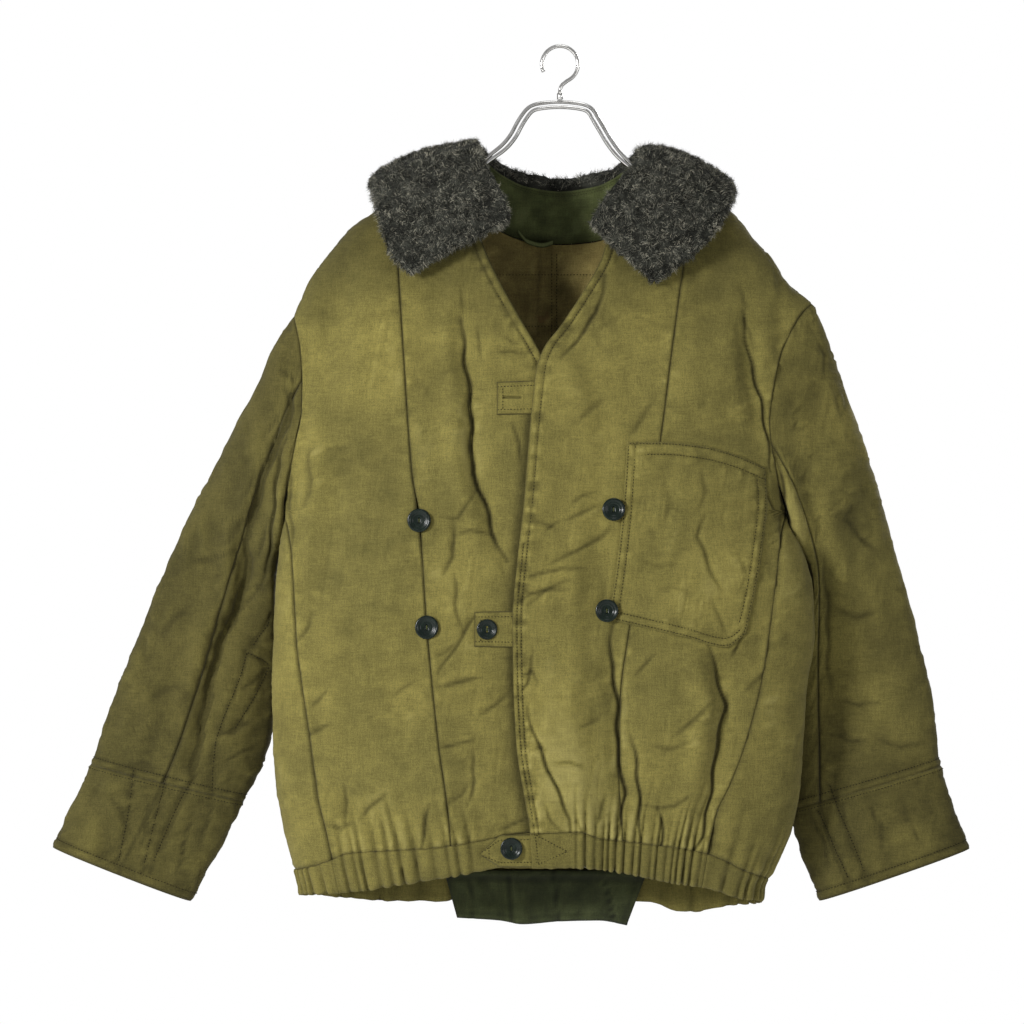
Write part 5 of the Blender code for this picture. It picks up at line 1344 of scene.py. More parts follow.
def stitches(name, lines, look, pitch=STITCH_PITCH, radius=STITCH_RADIUS, seed=5):
    """Short raised threads along sewn lines; each line is points with the directions out of the cloth."""
    verts, faces = [], []
    chance = np.random.default_rng(seed)
    for points, outward in lines:
        run = np.concatenate(((0.0,), np.cumsum(np.linalg.norm(np.diff(points, axis=0), axis=1))))
        if run[-1] < pitch:
            continue
        at = np.arange(pitch / 2, run[-1], pitch)
        at = at + chance.uniform(-0.2, 0.2, len(at))
        ends = []
        for shift in (-STITCH_LENGTH / 2, 0, STITCH_LENGTH / 2):
            ends.append(np.stack([np.interp(at + shift, run, points[:, k]) for k in range(3)], -1))
        up = unit(np.stack([np.interp(at, run, outward[:, k]) for k in range(3)], -1))
        way = unit(ends[2] - ends[0])
        side = np.cross(way, up)
        for k in range(len(at)):
            middle = ends[1][k] + up[k] * 0.5
            first = len(verts)
            verts.extend((ends[0][k] - up[k] * 0.1, middle + side[k] * radius, middle + up[k] * radius,
                          middle - side[k] * radius, middle - up[k] * radius, ends[2][k] - up[k] * 0.1))
            ring = (1, 2, 3, 4)
            for a, b in zip(ring, ring[1:] + ring[:1]):
                faces.append((first, first + b, first + a))
                faces.append((first + 5, first + a, first + b))
    return make_piece(name, np.array(verts), faces, look)


def front_lines():
    """Sewn lines on the fronts, as points of the finished cloth with the directions out of it."""
    made = []
    for right, source in ((True, EDGE_LINES_RIGHT), (False, EDGE_LINES_LEFT)):
        for line in source:
            made.append(front_skin(line[:, 0], line[:, 1], right, 0.0))
    corners = np.array(TRIANGLE_STITCHES)
    for start, end in zip(corners[:-1], corners[1:]):
        share = np.linspace(0, 1, 9)[:, None]
        spot = start + (end - start) * share
        angle = angle_at(spot[:, 0], spot[:, 1])
        made.append(wall_points(angle, spot[:, 1], LAP_RAISE * lap(spot[:, 0], spot[:, 1])))
    return made


TRIANGLE_STITCHES = from_photo((535, 828), (566, 845), (538, 858), (535, 830))


def pocket(look):
    """Patch pocket with a double-sewn rim, laid on the right front."""
    columns, rows = 84, 96
    across = np.linspace(0, 1, columns)[:, None]
    up = np.linspace(0, 1, rows)[None]
    x = np.full((columns, rows), 130.0)
    z = np.full(x.shape, -520.0)
    for _ in range(60):
        left = follow(POCKET_LEFT, "z", "x", z)
        right = follow(POCKET_RIGHT, "z", "x", z)
        low = follow(POCKET_BOTTOM, "x", "z", x)
        high = follow(POCKET_TOP, "x", "z", x)
        x = x + 0.6 * (left + (right - left) * across - x)
        z = z + 0.6 * (low + (high - low) * up - z)
    inner, outward = on_front(x, z, True, POCKET_GAP + 0 * x)
    creases = crease_relief(POCKET_CREASES, x, z)
    beside = np.minimum(runs(inner, 0), runs(inner[::-1], 0)[::-1])
    gap = np.minimum(beside, np.minimum(runs(inner, 1), runs(inner[:, ::-1], 1)[:, ::-1]))
    own = padding(inner, 930, 1.0) * smooth(gap / 12) - 1.1 * bell(gap, 1.4)
    for i, line in enumerate(POCKET_LINES):
        own = own + sewn(line, x, z, 1.2, 1.5, 1.1, 40 + i)
    shift = creases[..., None] * outward
    outer = inner + shift * 1.0 + outward * (POCKET_WALL + own)[..., None]
    inner = inner + np.minimum(creases, 0)[..., None] * outward * 0.6
    # Tone: painted shade along the rim, in the sewn lines and in the creases, lighter on raised cloth.
    wall("pocket", outer, inner, look, ("pocket",), tone=np.clip(0.2 * own + 0.2 * creases, -1.2, 0.8))
    lines = []
    for i, line in enumerate(POCKET_LINES):
        base, way = on_front(line[:, 0], line[:, 1], True, POCKET_GAP + POCKET_WALL - 0.6 + 0 * line[:, 0])
        lines.append((base + crease_relief(POCKET_CREASES, line[:, 0], line[:, 1])[:, None] * way, way))
    return lines


def strap(name, shape, look, buttonhole=None):
    """A strap that comes out from beneath the right front, sewn round its edge."""
    columns, rows = 50, 34
    x = np.linspace(shape["x"].min(), shape["x"].max(), columns)[:, None]
    level = np.linspace(0, 1, rows)[None]
    low = follow(shape, "x", "low", x)
    high = follow(shape, "x", "high", x)
    if len(shape["x"]) > 2:
        low = np.interp(x, shape["x"], shape["low"])
        high = np.interp(x, shape["x"], shape["high"])
    z = low + (high - low) * level
    x = x + 0 * z
    inner, outward = on_front(x, z, False, LAID_ON_GAP + 0 * z)
    edge = np.minimum(z - low, high - z)
    edge = np.minimum(edge, x - x.min() + (6 if len(shape["x"]) > 2 else 0))
    own = 0.9 - 1.5 * bell(edge, 1.2) - 0.4 * bell(edge - 3.2, 0.9)
    own = own + 0.35 * noise(inner, (6, 6, 6), 55) + 0.3 * noise(inner, (13, 13, 9), 56)
    if buttonhole is not None:
        hole_x, hole_z, length = buttonhole
        off = np.hypot(np.maximum(np.abs(x - hole_x) - length / 2, 0), z - hole_z)
        own = own - 2.6 * bell(off, 1.2) + 0.7 * bell(off - 2.4, 0.9)
    outer = inner + outward * (TAB_WALL + own)[..., None]
    # Tone: painted shade over all of the strap, darkest at its edges, in its sewn channel and in its buttonhole,
    # lighter on raised cloth.
    tone = 0.25 * own - 0.3 - 0.9 * bell(edge, 1.0)
    wall(name, outer, inner, look, (name,), tone=np.clip(tone, -1.5, 0.4))
    lines = []
    for row in (5, rows - 6):
        lines.append((outer[:, row] + 0.05 * outward[:, row], outward[:, row]))
    lines.append((outer[6, 5:-5], outward[6, 5:-5]))
    return lines


# Section of a button from the middle of its back, round its rim and down to its dished face
BUTTON_RIM = table(
    "share height",
    (0.0, 0.3), (0.88, 0.0), (0.95, 0.1), (0.99, 0.45), (1.0, 0.9), (1.0, 2.4), (0.99, 2.8), (0.96, 3.15), (0.92, 3.35),
    (0.87, 3.4), (0.82, 3.3), (0.78, 3.05), (0.74, 2.7), (0.68, 2.5), (0.62, 2.4), (0.57, 2.3), (0.53, 2.0),
)


def button(index, name, look):
    """Round button with a raised rim, a dished middle and two holes."""
    x, z = (np.array(BUTTONS[key][index]) for key in ("x", "z"))
    centre, outward = on_front(x, z, False, BUTTONS["over"][index] + BUTTON_SHANK)
    across = unit(np.cross((0.0, 0.0, 1.0), outward))
    up = np.cross(outward, across)
    turns = np.arange(64) * 2 * math.pi / 64
    shares, heights = BUTTON_RIM["share"], BUTTON_RIM["height"]
    inner_shares = np.linspace(0.50, 0.0, 26)
    inner_heights = 1.75 - 0.35 * smooth(1 - inner_shares / 0.5)
    shares = np.concatenate((shares, inner_shares))
    heights = np.concatenate((heights, inner_heights))
    radius = BUTTONS["radius"][index]
    flat_x = shares[:, None] * np.cos(turns) * radius
    flat_z = shares[:, None] * np.sin(turns) * radius
    height = np.broadcast_to(heights[:, None], flat_x.shape).copy()
    face = np.arange(len(shares))[:, None] > 16
    for side in (-1, 1):
        hole = np.hypot(flat_x, flat_z - side * 2.1)
        height -= 1.5 * smooth((1.35 - hole) / 0.5) * face
    slot_x = np.hypot(flat_x, np.maximum(np.abs(flat_z) - 2.0, 0))
    height -= 0.35 * smooth((1.9 - slot_x) / 0.7) * face
    points = centre + flat_x[..., None] * across + flat_z[..., None] * up + height[..., None] * outward
    faces = grid_faces(len(shares), 65, False)
    ring = np.concatenate((points, points[:, :1]), 1)
    return make_piece(name, ring, faces, look, (name,))


def button_thread(look):
    """Thread across the holes of each button."""
    lines = []
    for index in range(len(BUTTON_NAMES)):
        x, z = (np.array(BUTTONS[key][index]) for key in ("x", "z"))
        centre, outward = on_front(x, z, False, BUTTONS["over"][index] + BUTTON_SHANK)
        across = unit(np.cross((0.0, 0.0, 1.0), outward))
        up = np.cross(outward, across)
        for side in (-0.35, 0.35):
            t = np.linspace(-1, 1, 9)
            arch = 0.9 + 0.75 * np.sqrt(1 - t * t)
            path = centre + across * side + up * (t * 2.1)[:, None] + outward * arch[:, None]
            lines.append(path)
    return thread_piece("button_thread", lines, 0.33, look)


def thread_piece(name, paths, radius, look):
    """Thin round threads along paths."""
    verts, faces = [], []
    for path in paths:
        path = np.array(path, float)
        way = unit(np.gradient(path, axis=0))
        side = unit(np.cross(way, np.array((0.31, 0.82, 0.48))))
        other = np.cross(way, side)
        turns = np.arange(6) * math.pi / 3
        thick = radius * np.where((np.arange(len(path)) == 0) | (np.arange(len(path)) == len(path) - 1), 0.3, 1.0)
        spokes = side[:, None] * np.cos(turns)[:, None] + other[:, None] * np.sin(turns)[:, None]
        ring = path[:, None] + thick[:, None, None] * spokes
        first = len(verts)
        verts.extend(ring.reshape(-1, 3))
        for i in range(len(path) - 1):
            for j in range(6):
                k = (j + 1) % 6
                faces.append((first + i * 6 + j, first + (i + 1) * 6 + j, first + (i + 1) * 6 + k, first + i * 6 + k))
        faces.append(tuple(first + j for j in range(5, -1, -1)))
        last = first + (len(path) - 1) * 6
        faces.append(tuple(last + j for j in range(6)))
    return make_piece(name, np.array(verts), faces, look)


def flap(look):
    """Quilted flap behind the hem, with a rolled top edge."""
    columns, rows = 90, 34
    share = np.linspace(0, 1, columns)[:, None]
    level = np.linspace(0, 1, rows)[None]
    z = np.full((columns, rows), -890.0)
    for _ in range(40):
        left = follow(FLAP, "z", "left", z)
        right = follow(FLAP, "z", "right", z)
        x = left + (right - left) * share
        foot = follow(FLAP_FOOT, "x", "z", x)
        z = z + 0.6 * (foot + (FLAP["z"].max() - foot) * level - z)
    angle = angle_at(x, z, True)
    outward = torso_normal(angle, z)
    outer = torso(angle, z) - outward * (BAND_WALL + GATHER_DEPTH / 2 + 0.6)
    thick = FLAP_WALL + (FLAP_ROLL - FLAP_WALL) * smooth((level - 0.7) / 0.2)
    down = (1 - level) * 55
    frayed = noise(outer, (4, 4, 4), 61) + 0.6 * noise(outer, (2.5, 2.5, 2.5), 62)
    roll = bell(down - 4, 3.2)
    relief = 0.7 * noise(outer, (10, 10, 16), 63) + 0.4 * noise(outer, (5, 5, 6), 64)
    relief = relief * smooth(down / 14) + roll * (1.1 + 0.9 * frayed) - 2.2 * bell(down - 9.5, 2.2)
    for k, (top_x, foot_x) in enumerate(((-54, -50), (46, 58), (-6, -2), (-96, -92))):
        line = top_x + (foot_x - top_x) * (1 - level)
        relief = relief - 2.2 * bell(x - line, 1.8) + 0.6 * bell(x - line, 6)
    edge = np.minimum(share, 1 - share) * 190
    relief = relief - 1.2 * bell(edge, 1.5) - 0.7 * bell(edge - 6, 1.4)
    rise = level * 55
    relief = relief - 1.2 * bell(rise, 1.5) - 0.6 * bell(rise - 6, 1.4)
    inner = outer - outward * (thick + 0 * z)[..., None] - outward * relief[..., None]
    # Tone: painted shade in the quilting channels and along the sewn edges; the rolled top edge is darker, with pale
    # frayed spots.
    tone = 0.6 * np.minimum(relief, 0.3) - 0.5 * roll + 0.5 * roll * np.clip(frayed, 0, 1)
    return wall("inner_flap", outer, inner, look, ("inner_flap",), tone=tone)


def lining_lines():
    """Sewn lines of the lining, as points with the directions into the jacket."""
    made = []
    spots = [(LINING_SEAM_X + shift, np.linspace(-212, -345, 40)) for shift in (-2.2, 3.0)]
    spots += [(np.linspace(-75, 60, 40), level) for level in LINING_ROWS[:3]]
    for x, z in spots:
        x, z = x + 0 * z, z + 0 * x
        angle = angle_at(x, z, True)
        base, outward = wall_points(angle, z, back_height(x, z))
        made.append((base - outward * (BODY_WALL + LAID_ON_GAP + LINING_WALL + 0.3), -outward))
    return made


def lining(name, angle, z, pick, node, look):
    """Half of the back's lining, quilted across and sewn down the middle."""
    angle, z = angle[pick], z[pick]
    base, outward = wall_points(angle, z, back_height(torso(angle, z)[..., 0], z), "neck open")
    base = base - (BODY_WALL + LAID_ON_GAP) * outward
    base[..., 1] += 0.7 * SEAM_GAP
    middle, beside = (0, 1) if node == "back_left" else (-1, -2)
    base[middle] += unit(base[middle] - base[beside]) * 1.1
    x, height = base[..., 0], base[..., 2]
    relief = 0.7 * padding(base, 700, 0.8)
    for line in (LINING_SEAM_X - 1.6, LINING_SEAM_X + 2.4):
        relief = relief - 1.2 * bell(x - line, 1.1)
    ripple = noise(np.stack((height, x / 4, 0 * x), -1), (6, 4, 1), 77)
    relief = relief + 0.9 * ripple * bell(x - LINING_SEAM_X, 8)
    for level in LINING_ROWS:
        line = level + 1.5 * np.sin(x / 17)
        cross = noise(np.stack((x, height / 4, 0 * x), -1), (6, 4, 1), 78)
        relief = relief - 0.9 * bell(height - line, 1.3) + 0.9 * cross * bell(height - line, 8)
    inner = base - outward * (LINING_WALL + np.clip(relief, -1.1, 2))[..., None]
    # Tone: painted shade in the sewn lines down the middle and across, lighter on raised cloth.
    return wall(name, base, inner, look, (node,), tone=np.clip(0.75 * relief, -1.6, 0.35))


LINING_SEAM_X = -6.0
LINING_ROWS = (-235.2, -290.0, -345.0, -400.0, -455.0, -510.0)


def collar(pile_look, cloth_look, hair_look):
    """Cloth stand and the pile fall."""
    last = len(COLLAR["back"]) - 1
    at = np.linspace(0, last, 281)
    neck, outward = neck_line(at)
    for _ in range(4):
        neck[1:-1] = (neck[:-2] + 2 * neck[1:-1] + neck[2:]) / 4
        outward[1:-1] = unit(outward[:-2] + 2 * outward[1:-1] + outward[2:])
    centre = np.array(NECK_CENTRE, float)
    foot = neck + unit(centre - neck) * COLLAR_GAP - outward * 0.7
    top = collar_line("stand", at)
    towards = centre - top
    towards[:, 2] = 0.0
    share = np.linspace(0, 1, 22)[None, :, None]
    outer = foot[:, None] + (top - foot)[:, None] * share
    inside = unit(-outward[:, None] * (1 - share) + unit(towards)[:, None] * share)
    up = runs(outer, 1)
    rim = up[:, -1:] - up
    x = outer[..., 0]
    relief = 0.5 * noise(outer, (9, 9, 9), 801) + 0.4 * noise(outer, (20, 20, 12), 802)
    relief = relief - 0.8 * bell(rim - 4, 1.2) - 0.7 * bell(up - 5, 1.2)
    relief = relief - 1.0 * bell(x - 2, 1.2) * (outer[..., 1] > 20)
    inner = outer + inside * (STAND_WALL + np.clip(relief, -1.6, 1.2))[..., None]
    # Tone: painted shade in the sewn grooves along both rims and down the back seam, a little lighter where the cloth
    # swells.
    tone = np.clip(0.7 * relief, -1.5, 0.3)
    wall("collar_stand", outer, inner, cloth_look, ("collar_stand",), tone=tone)
    stand_lines = []
    for column in (3.5, 6.5):
        rows = [int(np.argmin(np.abs(rim[i] - column))) for i in range(0, len(at), 2)]
        picks = list(range(0, len(at), 2))
        stand_lines.append((inner[picks, rows], unit(inner[picks, rows] - outer[picks, rows])))
    middle = int(np.argmin(np.abs(x[:, 10] - 2) + 200 * (outer[:, 10, 1] < 15)))
    stand_lines.append((inner[middle, 2:-3], unit(inner[middle, 2:-3] - outer[middle, 2:-3])))
    roll = collar_line("roll", at)
    edge = collar_line("edge", at)
    seat = top + unit(roll - top) * 0.7
    start = (roll + seat) / 2
    share = np.linspace(0, 1, 46)[None, :, None]
    middle = start[:, None] + (edge - start)[:, None] * share
    normal = unit(np.cross(np.gradient(middle, axis=0), np.gradient(middle, axis=1)))
    normal *= np.sign((normal * (0.0, 0.0, 1.0) + normal * (middle - centre) * (1, 1, 0)).sum(-1, keepdims=True))
    middle = middle + normal * 7 * np.sin(share * math.pi)
    half = PILE_WALL / 2 - (PILE_WALL - PILE_RIM) / 2 * share**3
    rim = (roll - seat)[:, None] / 2
    ease = smooth(share / 0.25)
    reach = rim * (1 - ease) + normal * half * ease
    shift = lift_clear(middle - reach, 1.5)
    middle = middle.copy()
    middle[..., 1] += shift
    tuft = noise(middle, (9, 9, 9), 811)[..., None] + 0.6 * noise(middle, (5, 5, 5), 812)[..., None]
    outer = middle + reach * (0.62 + 0.16 * tuft)
    inner = middle - reach * 0.55
    tone = np.clip(0.4 * tuft[..., 0], -1, 1)
    wall("collar_fall", outer, inner, pile_look, ("collar_fall",), tone=tone)
    hair(outer, inner, middle, reach, hair_look)
    return stand_lines


# Strands of pile by place, the pieces they are shared out over, and a strand's points
STRANDS_ON_FACE = 60000
STRANDS_UNDER = 14000
STRANDS_ON_EDGE = 9000
STRANDS_ON_END = 2600
STRANDS_ON_ROLL = 5000
STRAND_PIECES = 3
STRAND_POINTS = 5


def hair(outer, inner, middle, reach, look):
    """Curly pile: short bent tapered strands on the face, the rims and the underside."""
    chance = np.random.default_rng(12)
    columns, rows = outer.shape[:2]
    thick = unit(outer - inner)
    out_way = unit(outer[:, -1] - outer[:, -3])
    sets = []
    area = np.linalg.norm(np.cross(outer[1:, :-1] - outer[:-1, :-1], outer[:-1, 1:] - outer[:-1, :-1]), axis=-1)
    cells = np.arange(area.size)
    for side, count in (("face", STRANDS_ON_FACE), ("under", STRANDS_UNDER)):
        weight = area / area.sum()
        if side == "under":
            far = np.linspace(0, 1, rows - 1)[None] ** 2 + 0.08
            weight = weight * far
            weight = weight / weight.sum()
        chosen = chance.choice(cells, count, p=weight.ravel())
        i, j = np.divmod(chosen, rows - 1)
        a, b = chance.random(count)[:, None], chance.random(count)[:, None]
        grid = outer if side == "face" else inner
        low = grid[i, j] * (1 - a) + grid[i + 1, j] * a
        high = grid[i, j + 1] * (1 - a) + grid[i + 1, j + 1] * a
        root = low * (1 - b) + high * b
        way = thick[i, j] * (1 if side == "face" else -1)
        sets.append((root, way, np.full(count, 1.0 if side == "face" else 0.8)))
    rims = (
        (outer[:, -1], inner[:, -1], out_way, STRANDS_ON_EDGE),
        (outer[0, :], inner[0, :], unit(outer[0] - outer[2]), STRANDS_ON_END),
        (outer[-1, :], inner[-1, :], unit(outer[-1] - outer[-3]), STRANDS_ON_END),
        (outer[:, 0], inner[:, 0], unit(outer[:, 0] - outer[:, 2]), STRANDS_ON_ROLL),
    )
    for top, low, out, count in rims:
        run = np.concatenate(((0.0,), np.cumsum(np.linalg.norm(np.diff(top, axis=0), axis=1))))
        at = chance.random(count) * run[-1]
        mix = chance.random(count)[:, None]
        pick = [np.stack([np.interp(at, run, line[:, k]) for k in range(3)], -1) for line in (top, low, out)]
        root = pick[0] * (1 - mix) + pick[1] * mix
        lean = unit(pick[0] - pick[1]) * (1 - 2 * mix)
        sets.append((root, unit(pick[2] + 0.6 * lean), np.full(count, 1.2)))
    root = np.concatenate([s[0] for s in sets])
    way = np.concatenate([s[1] for s in sets])
    size = np.concatenate([s[2] for s in sets])
    count = len(root)
    curl = np.stack([noise(root, (7, 7, 7), 820 + k) for k in range(3)], -1)
    swirl = np.stack([noise(root, (3, 3, 3), 830 + k) for k in range(3)], -1)
    fall = np.array((0.0, -0.1, -0.35))
    first = unit(way + 0.9 * curl + 0.5 * swirl + chance.normal(0, 0.28, (count, 3)) + fall)
    second = unit(first * 0.4 + 1.1 * swirl + 0.7 * curl + chance.normal(0, 0.45, (count, 3)) + fall)
    second += way * np.clip(0.15 - (second * way).sum(-1, keepdims=True), 0, 1)
    length = chance.uniform(3.0, 6.0, count) * size
    knee = root + first * (length * 0.55)[:, None]
    tip = knee + second * (length * 0.75)[:, None]
    side = unit(np.cross(second, way + chance.normal(0, 0.6, (count, 3))))
    width = chance.uniform(0.13, 0.26, count)[:, None]
    foot, bend = side * width, side * width * 0.85
    points = np.stack((root - foot, root + foot, knee + bend, knee - bend, tip), 1)
    shade = 0.55 * noise(root, (6, 6, 6), 841) + 0.35 * noise(root, (2.2, 2.2, 2.2), 842)
    shade = 1.2 * shade + 0.1 + chance.normal(0, 0.75, count) + 0.7 * (chance.random(count) < 0.15)
    tone = np.repeat(shade, STRAND_POINTS)
    third = (count + STRAND_PIECES - 1) // STRAND_PIECES
    order = chance.permutation(count)
    for k in range(STRAND_PIECES):
        pick = order[k * third : (k + 1) * third]
        index = np.arange(len(pick))[:, None] * STRAND_POINTS
        faces = [tuple(f) for f in (index + (0, 1, 2, 3)).tolist()] + [tuple(f) for f in (index + (3, 2, 4)).tolist()]
        tones = tone.reshape(-1, STRAND_POINTS)[pick]
        make_piece(f"pile_strands_{k + 1}", points[pick].reshape(-1, 3), faces, look, tone=tones)


def hanging_loop(look):
    """Slack loop of folded cloth inside the back of the neck."""
    x = np.linspace(LOOP["x"].min(), LOOP["x"].max(), 40)
    z = follow(LOOP, "x", "z", x)
    y = follow(LOOP, "x", "y", x)
    level = np.linspace(-2.5, 2.5, 9)
    outer = np.stack([np.stack((x, y, z + side), -1) for side in level], 1)
    bulge = 1.3 + 0.5 * np.sqrt(np.clip(1 - (level / 2.7) ** 2, 0, 1)) - 0.35 * bell(np.abs(level) - 1.4, 0.4)
    inner = outer - np.array((0.0, 1.0, 0.0)) * bulge[None, :, None]
    tone = np.broadcast_to(0.55 - 1.2 * (np.abs(level) > 2.2), inner.shape[:2])
    wall("hanging_loop", outer, inner, look, ("hanging_loop",), tone=tone)


def rod(name, path, radius, sides, look, stands_for, ring=False):
    """A smooth metal rod along a path."""
    path = np.array(path, float)
    way = unit(np.roll(path, -1, axis=0) - np.roll(path, 1, axis=0)) if ring else unit(np.gradient(path, axis=0))
    across = unit(np.cross(way, np.array((0.13, 0.96, 0.24))))
    other = np.cross(way, across)
    radius = np.broadcast_to(np.asarray(radius, float), len(path))
    turns = np.arange(sides) * 2 * math.pi / sides
    rings = path[:, None] + radius[:, None, None] * (
        across[:, None] * np.cos(turns)[:, None] + other[:, None] * np.sin(turns)[:, None]
    )
    rings = np.concatenate((rings, rings[:, :1]), 1)
    faces = grid_faces(len(path), sides + 1, ring)
    faces = [tuple(f) for f in faces.tolist()]
    if not ring:
        faces.append(tuple(range(sides)))
        faces.append(tuple((len(path) - 1) * (sides + 1) + k for k in range(sides - 1, -1, -1)))
    return make_piece(name, rings, faces, look, stands_for)


def round_off(path, times, ring=False):
    """A path with its corners rounded."""
    for _ in range(times):
        nearer = path * 0.75 + np.roll(path, -1, axis=0) * 0.25
        farther = path * 0.25 + np.roll(path, -1, axis=0) * 0.75
        merged = np.stack((nearer, farther), 1).reshape(-1, 3)
        path = merged if ring else np.concatenate((path[:1], merged[:-2], path[-1:]))
    return path


# Stem of the hook, with the collar that holds it in the frame: places up it, and the collar's radii
HOOK_STEM = (
    (0, HOOK_FOOT), (0, HOOK_FOOT + 0.5), (0, -48.2), (0, -47.4), (0, -47.0), (0.2, -43.5), (0.9, -41), (2.4, -38.6),
)
HOOK_COLLAR_RADII = (2.7, 3.2, 3.2, 2.8)


def hanger(look):
    """Two-rod hanger and its hook."""
    rows = np.linspace(0, len(HANGER_NECK["x"]) - 1, 25)
    row = {"row": np.arange(len(HANGER_NECK["x"]), dtype=float), **HANGER_NECK}
    neck = np.stack((follow(row, "row", "x", rows), follow(row, "row", "z", rows)), -1)
    left = np.linspace(HANGER_LEFT_END, neck[0, 0], 9)[:-1]
    right = np.linspace(neck[-1, 0], HANGER_RIGHT_END, 7)[1:]
    sides = []
    for x in (left, right):
        slope = (follow(RIDGE, "x", "z", x + 6) - follow(RIDGE, "x", "z", x - 6)) / 12
        sides.append(np.stack((x, follow(RIDGE, "x", "z", x) - HANGER_UNDER_RIDGE * np.sqrt(1 + slope**2)), -1))
    line = np.concatenate((sides[0], neck, sides[1]))
    way = unit(np.gradient(line, axis=0))
    neckness = smooth(1 - (np.abs(line[:, 0] + 2) - 60) / 50)
    inward = np.stack((way[:, 1], -way[:, 0]), -1)
    spread = HANGER_SPREAD / 2 + HANGER_SPREAD / 2 * smooth((np.abs(line[:, 0]) - 60) / 75)
    front = line + inward * 6.3 * neckness[:, None]
    rods = []
    for path, side in ((front, -1), (line[::-1], 1)):
        depth = spread if side < 0 else spread[::-1]
        rods.append(np.stack((path[:, 0], side * depth, path[:, 1]), -1))
    ends = []
    for x, z, sign in ((HANGER_RIGHT_END, line[-1, 1], 1), (HANGER_LEFT_END, line[0, 1], -1)):
        turns = np.radians((-60, -30, 0, 30, 60))
        bulge = HANGER_SPREAD * 0.9 * np.cos(turns)
        ends.append(np.stack((x + sign * bulge, sign * HANGER_SPREAD * np.sin(turns), z - 0.75 * bulge), -1))
    loop = round_off(np.concatenate((rods[0], ends[0], rods[1], ends[1])), 2, ring=True)
    rod("hanger_frame", loop, WIRE_RADIUS, 18, look, ("hanger_frame",), ring=True)
    turns = np.radians(np.linspace(-66, 205, 64))
    height = WIRE_RADIUS - HOOK_RADIUS + HOOK_RADIUS * np.sin(turns)
    arc = np.stack((HOOK_RADIUS * np.cos(turns), 0 * turns, height), -1)
    stem = np.array([(x, 0, z) for x, z in HOOK_STEM])
    radius = np.concatenate((HOOK_COLLAR_RADII, np.full(len(arc) + len(stem) - len(HOOK_COLLAR_RADII), WIRE_RADIUS)))
    rod("hanger_hook", np.concatenate((stem, arc)), radius, 20, look, ("hanger_hook",))


